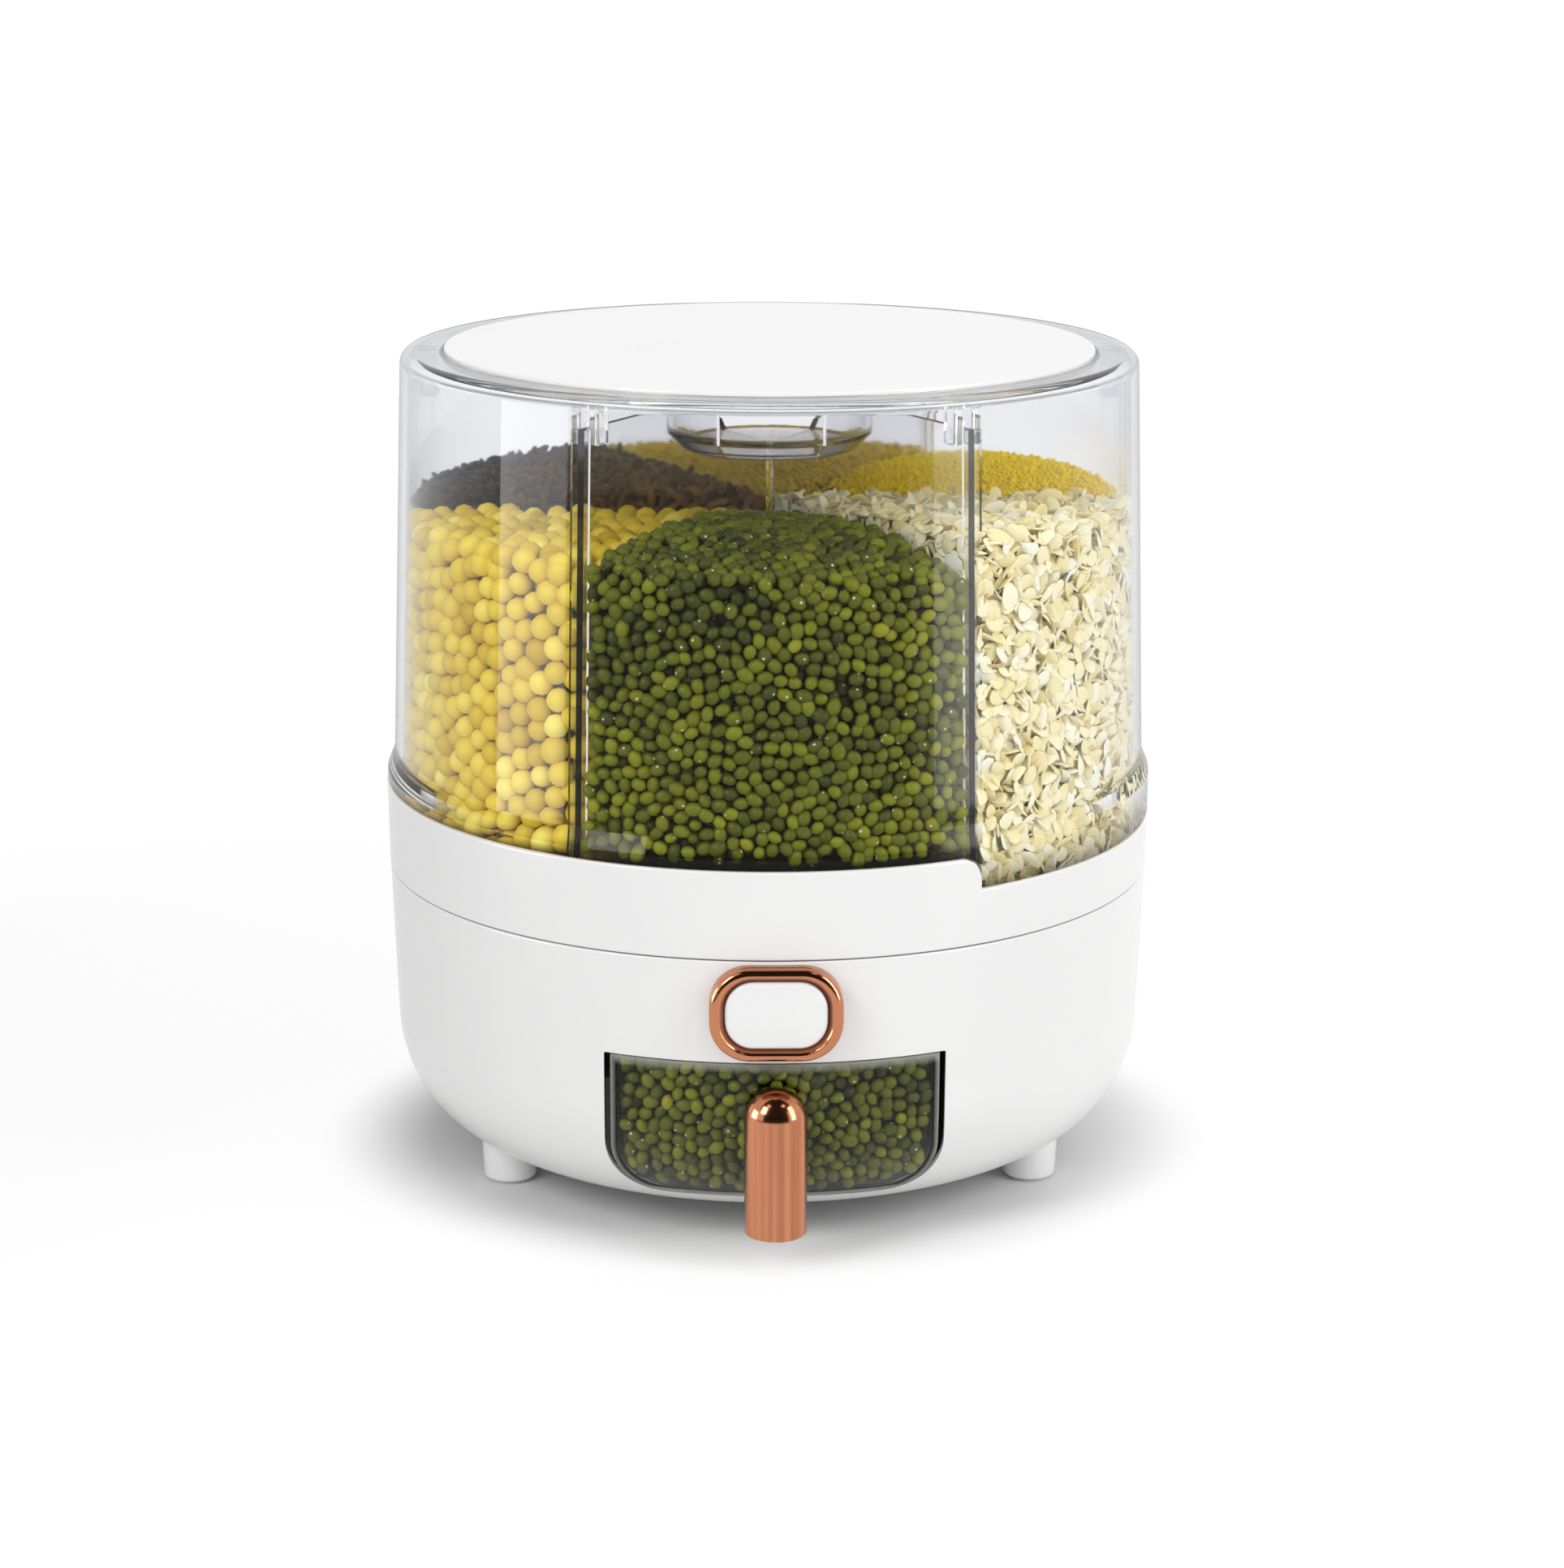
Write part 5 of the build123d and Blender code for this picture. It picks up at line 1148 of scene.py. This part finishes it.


# Beans in the drawer: layers behind its curved front, on top and along the sides, over a dark body that is
# painted shade between the beans. All of them are darker than the compartments' beans, and those behind the
# front layer darker still, as painted shade.
def drawerFood():
    look = drawerBeans
    d = drawer
    size, gap = look["half"][2], look["spacing"]
    inner = d["wall"] + size
    low, high, tall = d["bottom"] + inner, d["top"] - look["below"], d["top"] - d["bottom"]
    corner, halfW, back = d["corner"] - inner, d["halfW"] - inner, d["back"] - inner
    grains = []
    for layer in range(look["layers"]):
        inset = inner + layer * look["layerStep"]
        patch = evenPatch(2 * d["halfW"], tall, gap) - [d["halfW"], -d["bottom"]]
        x, z = patch[:, 0], patch[:, 1]
        keep = (np.abs(x) < outlineHalf(z, halfW, low, corner)) & (z > low) & (z < high)
        y = tubFront(x, z, inset) + look["loose"] * random.random(len(x))
        grains.append(keptGrains(grid(x, y, z), (0.0, -1.0, 0.0), keep))
    patch = evenPatch(2 * d["halfW"], look["deep"], gap) - [d["halfW"], look["front"]]
    x, y = patch[:, 0], patch[:, 1]
    keep = (np.abs(x) < halfW) & (y > tubFront(x, d["top"], inner)) & (y < back)
    grains.append(keptGrains(grid(x, y, d["top"] - size - look["below"]), (0.0, 0.0, 1.0), keep))
    for side in (-1, 1):
        patch = evenPatch(look["deep"], tall, gap) - [look["front"], -d["bottom"]]
        y, z = patch[:, 0], patch[:, 1]
        x = side * outlineHalf(z, halfW, low, corner)
        keep = (z > low) & (z < high) & (y > tubFront(x, z, inner + gap)) & (y < back)
        grains.append(keptGrains(grid(x, y, z), (float(side), 0.0, 0.0), keep))
    skins, rim = drawerSkin(inner + look["coreIn"])
    cover = np.stack([rim, 0 * rim + rim.mean(0)])
    core = joinSurfaces(*skins, gridSurface(cover, closeColumns=True))
    core[0][:, 2] = np.minimum(core[0][:, 2], d["top"] - look["coreBelow"])
    places, normals = [np.concatenate(part) for part in zip(*grains)][:2]
    behind = places[:, 1] > tubFront(places[:, 0], places[:, 2], inner + look["deepFrom"])
    # Painted shade: every drawer bean is darker, and those behind the front layer more so.
    shift = -look["darker"] - look["deepShadeTone"] * behind

    def behindFront(points):
        x, y, z = points.T
        return grid(x, np.maximum(y, tubFront(x, z, d["wall"] + look["gap"])), z)

    stageFood("drawerBeans", core, places, normals, shift, look, "drawer", behindFront)


drawerFood()
print("food staged")

# Floor, light and camera
studio = {"floorSize": 12.0, "floorGap": 0.05 * mm, "floorTone": (0.74, 0.74, 0.74), "ovalDepth": 1.12,
          "glow": 1.05, "white": [(0.103, 0.143, 0.86), (0.35, 0.7, 0.14)], "lightFrom": (0.5, -0.75, 0.42),
          "worldFrom": -0.7, "worldTo": 0.9, "worldLow": 0.36, "worldHigh": 0.9}


# One where a ray comes from the camera, or shows the background in gloss or through glass.
def seenRays(tree):
    path = newNode(tree, "LightPath")
    seen = newNode(tree, "Math", operation="MAXIMUM")
    seenToo = newNode(tree, "Math", operation="MAXIMUM")
    link(path, "Is Camera Ray", seen, 0)
    link(path, "Is Glossy Ray", seen, 1)
    link(seen, "Value", seenToo, 0)
    link(path, "Is Transmission Ray", seenToo, 1)
    return seenToo.outputs["Value"]


# White paper that keeps the shadow near the object, and glows to the eye further out until it meets the
# background.
def makeFloor():
    half = studio["floorSize"] / 2
    side = np.linspace(-half, half, 3)
    x, y = np.meshgrid(side, side)
    thing = meshObject("floor", gridSurface(grid(x, y, -studio["floorGap"])), sharp=0)
    material, tree, shader = newMaterial("floorPaper")
    tree.nodes.remove(shader)
    paper = newNode(tree, "BsdfDiffuse", {"Color": (*studio["floorTone"], 1)})
    glow = newNode(tree, "Emission", {"Strength": studio["glow"]})
    place = newNode(tree, "TexCoord")
    oval = newNode(tree, "VectorMath", {1: (1.0, studio["ovalDepth"], 0.0)}, operation="MULTIPLY")
    far = newNode(tree, "VectorMath", operation="LENGTH")
    both = newNode(tree, "Math", operation="ADD")
    for slot, (start, end, share) in enumerate(studio["white"]):
        rise = newNode(tree, "MapRange", {"From Min": start, "From Max": end,
                                          "To Max": share}, interpolation_type="SMOOTHSTEP")
        link(far, "Value", rise, "Value")
        link(rise, "Result", both, slot)
    level = newNode(tree, "Math", operation="MULTIPLY")
    mix = newNode(tree, "MixShader")
    link(place, "Object", oval, 0)
    link(oval, "Vector", far, 0)
    link(both, "Value", level, 0)
    tree.links.new(seenRays(tree), level.inputs[1])
    link(level, "Value", mix, "Fac")
    link(paper, "BSDF", mix, 1)
    link(glow, "Emission", mix, 2)
    link(mix, "Shader", tree.nodes["Material Output"], "Surface")
    thing.data.materials.append(material)


makeFloor()


# White to the eye and in gloss and glass; as light on the object it is soft, and strongest from one
# direction.
def makeWorld():
    world = bpy.data.worlds.new("softStudio")
    bpy.context.scene.world = world
    world.use_nodes = True
    tree = world.node_tree
    back = tree.nodes["Background"]
    back.inputs["Color"].default_value = (1, 1, 1, 1)
    place = newNode(tree, "TexCoord")
    toward = newNode(tree, "VectorMath", {1: studio["lightFrom"]}, operation="DOT_PRODUCT")
    soft = newNode(tree, "MapRange", {"From Min": studio["worldFrom"], "From Max": studio["worldTo"],
                                      "To Min": studio["worldLow"], "To Max": studio["worldHigh"]})
    level = newNode(tree, "MapRange", {"To Max": 1.0})
    link(place, "Generated", toward, 0)
    link(toward, "Value", soft, "Value")
    link(soft, "Result", level, "To Min")
    tree.links.new(seenRays(tree), level.inputs["Value"])
    link(level, "Result", back, "Strength")


makeWorld()


# A card that shows in reflections, as a photographer's flag or strip does; one that shades keeps light off
# instead.
def reflectionCard(name, points, tone, strength, shades=False):
    thing = meshObject(name, gridSurface(points), sharp=0)
    material, tree, shader = newMaterial(name + "Face")
    tree.nodes.remove(shader)
    face = newNode(tree, "Emission", {"Color": (tone, tone, tone, 1), "Strength": strength})
    link(face, "Emission", tree.nodes["Material Output"], "Surface")
    thing.data.materials.append(material)
    thing.visible_camera = False
    thing.visible_diffuse = shades
    thing.visible_glossy = not shades
    thing.visible_transmission = False
    thing.visible_shadow = shades


# Part of a flat ring on the floor, between two angles and two radii.
def ringPart(first, last, inner, outer, z):
    turn = np.radians(np.linspace(first, last, 48))
    reach = np.array([inner, outer])[:, None]
    return carried(reach, z, turn)


# An upright sheet between two points of the floor plan.
def uprightSheet(first, last, low, high):
    ends = np.array([first, last])
    return np.stack([np.c_[ends, [low, low]], np.c_[ends, [high, high]]])


reflectionCard("frontFlag", ringPart(-152, -50, 0.62, 2.2, 2 * mm), 0.03, 1.0)
reflectionCard("ceilingFlag", ringPart(-160, -20, 0.25, 3.0, 1.9), 0.015, 1.0)
reflectionCard("frontWall", uprightSheet((-2.2, -2.4), (2.2, -2.4), 0.0, 1.9), 0.02, 1.0)
reflectionCard("leftFlag", uprightSheet((-0.3, -0.18), (-0.42, 0.9), 0.0, 0.32), 0.2, 1.0, shades=True)
reflectionCard("leftStrip", uprightSheet((-0.42, -0.08), (-0.4, -0.26), 0.05, 0.21), 1.0, 8.0)
reflectionCard("rightStrip", uprightSheet((0.35, -0.37), (0.42, -0.27), 0.05, 0.2), 1.0, 8.0)
reflectionCard("leftSpot", uprightSheet((-0.6, -0.62), (-0.42, -0.78), 1.05, 1.3), 1.0, 3.0)
reflectionCard("rightSpot", uprightSheet((0.42, -0.78), (0.6, -0.62), 1.05, 1.3), 1.0, 3.0)


# A soft box at a place, turned to face a point; one that is not to glint stays out of reflections.
def softBox(name, place, aim, size, power, glints=True):
    light = bpy.data.lights.new(name, "AREA")
    light.shape = "RECTANGLE"
    light.size, light.size_y = size
    light.energy = power
    thing = bpy.data.objects.new(name, light)
    thing.visible_glossy = glints
    thing.visible_transmission = glints
    bpy.context.scene.collection.objects.link(thing)
    away = np.array(place, float) - np.array(aim, float)
    away /= np.linalg.norm(away)
    right = np.cross([0, 0, 1], away)
    right /= np.linalg.norm(right)
    turn = np.stack([right, np.cross(away, right), away], 1)
    thing.matrix_world = Matrix.Translation(place) @ Matrix(turn.tolist()).to_4x4()


softBox("keyLeft", (-1.05, -1.0, 1.05), (0, 0, 0.12), (0.5, 0.7), 9.2)
softBox("fillRight", (1.3, -0.75, 0.95), (0, 0, 0.12), (0.5, 0.7), 7.0)
softBox("backRight", (0.35, 1.1, 0.5), (0, 0, 0.18), (0.8, 0.5), 4.4, glints=False)

view = {"place": (-23 * mm, -1100 * mm, 402 * mm), "pitch": 14.72, "yaw": -1.42, "roll": 0.24, "lens": 84.1}


# A camera of full-frame width at its place, turned by roll, then pitch, then yaw.
def makeCamera():
    camera = bpy.data.cameras.new("camera")
    camera.lens = view["lens"]
    camera.sensor_width = 36.0
    thing = bpy.data.objects.new("camera", camera)
    bpy.context.scene.collection.objects.link(thing)
    turn = (Matrix.Rotation(math.radians(view["yaw"]), 4, "Z")
            @ Matrix.Rotation(math.radians(90 - view["pitch"]), 4, "X")
            @ Matrix.Rotation(math.radians(view["roll"]), 4, "Z"))
    thing.matrix_world = Matrix.Translation(view["place"]) @ turn
    bpy.context.scene.camera = thing


makeCamera()
bpy.context.scene.view_settings.view_transform = "Standard"
print("studio made")

bpy.context.view_layer.update()
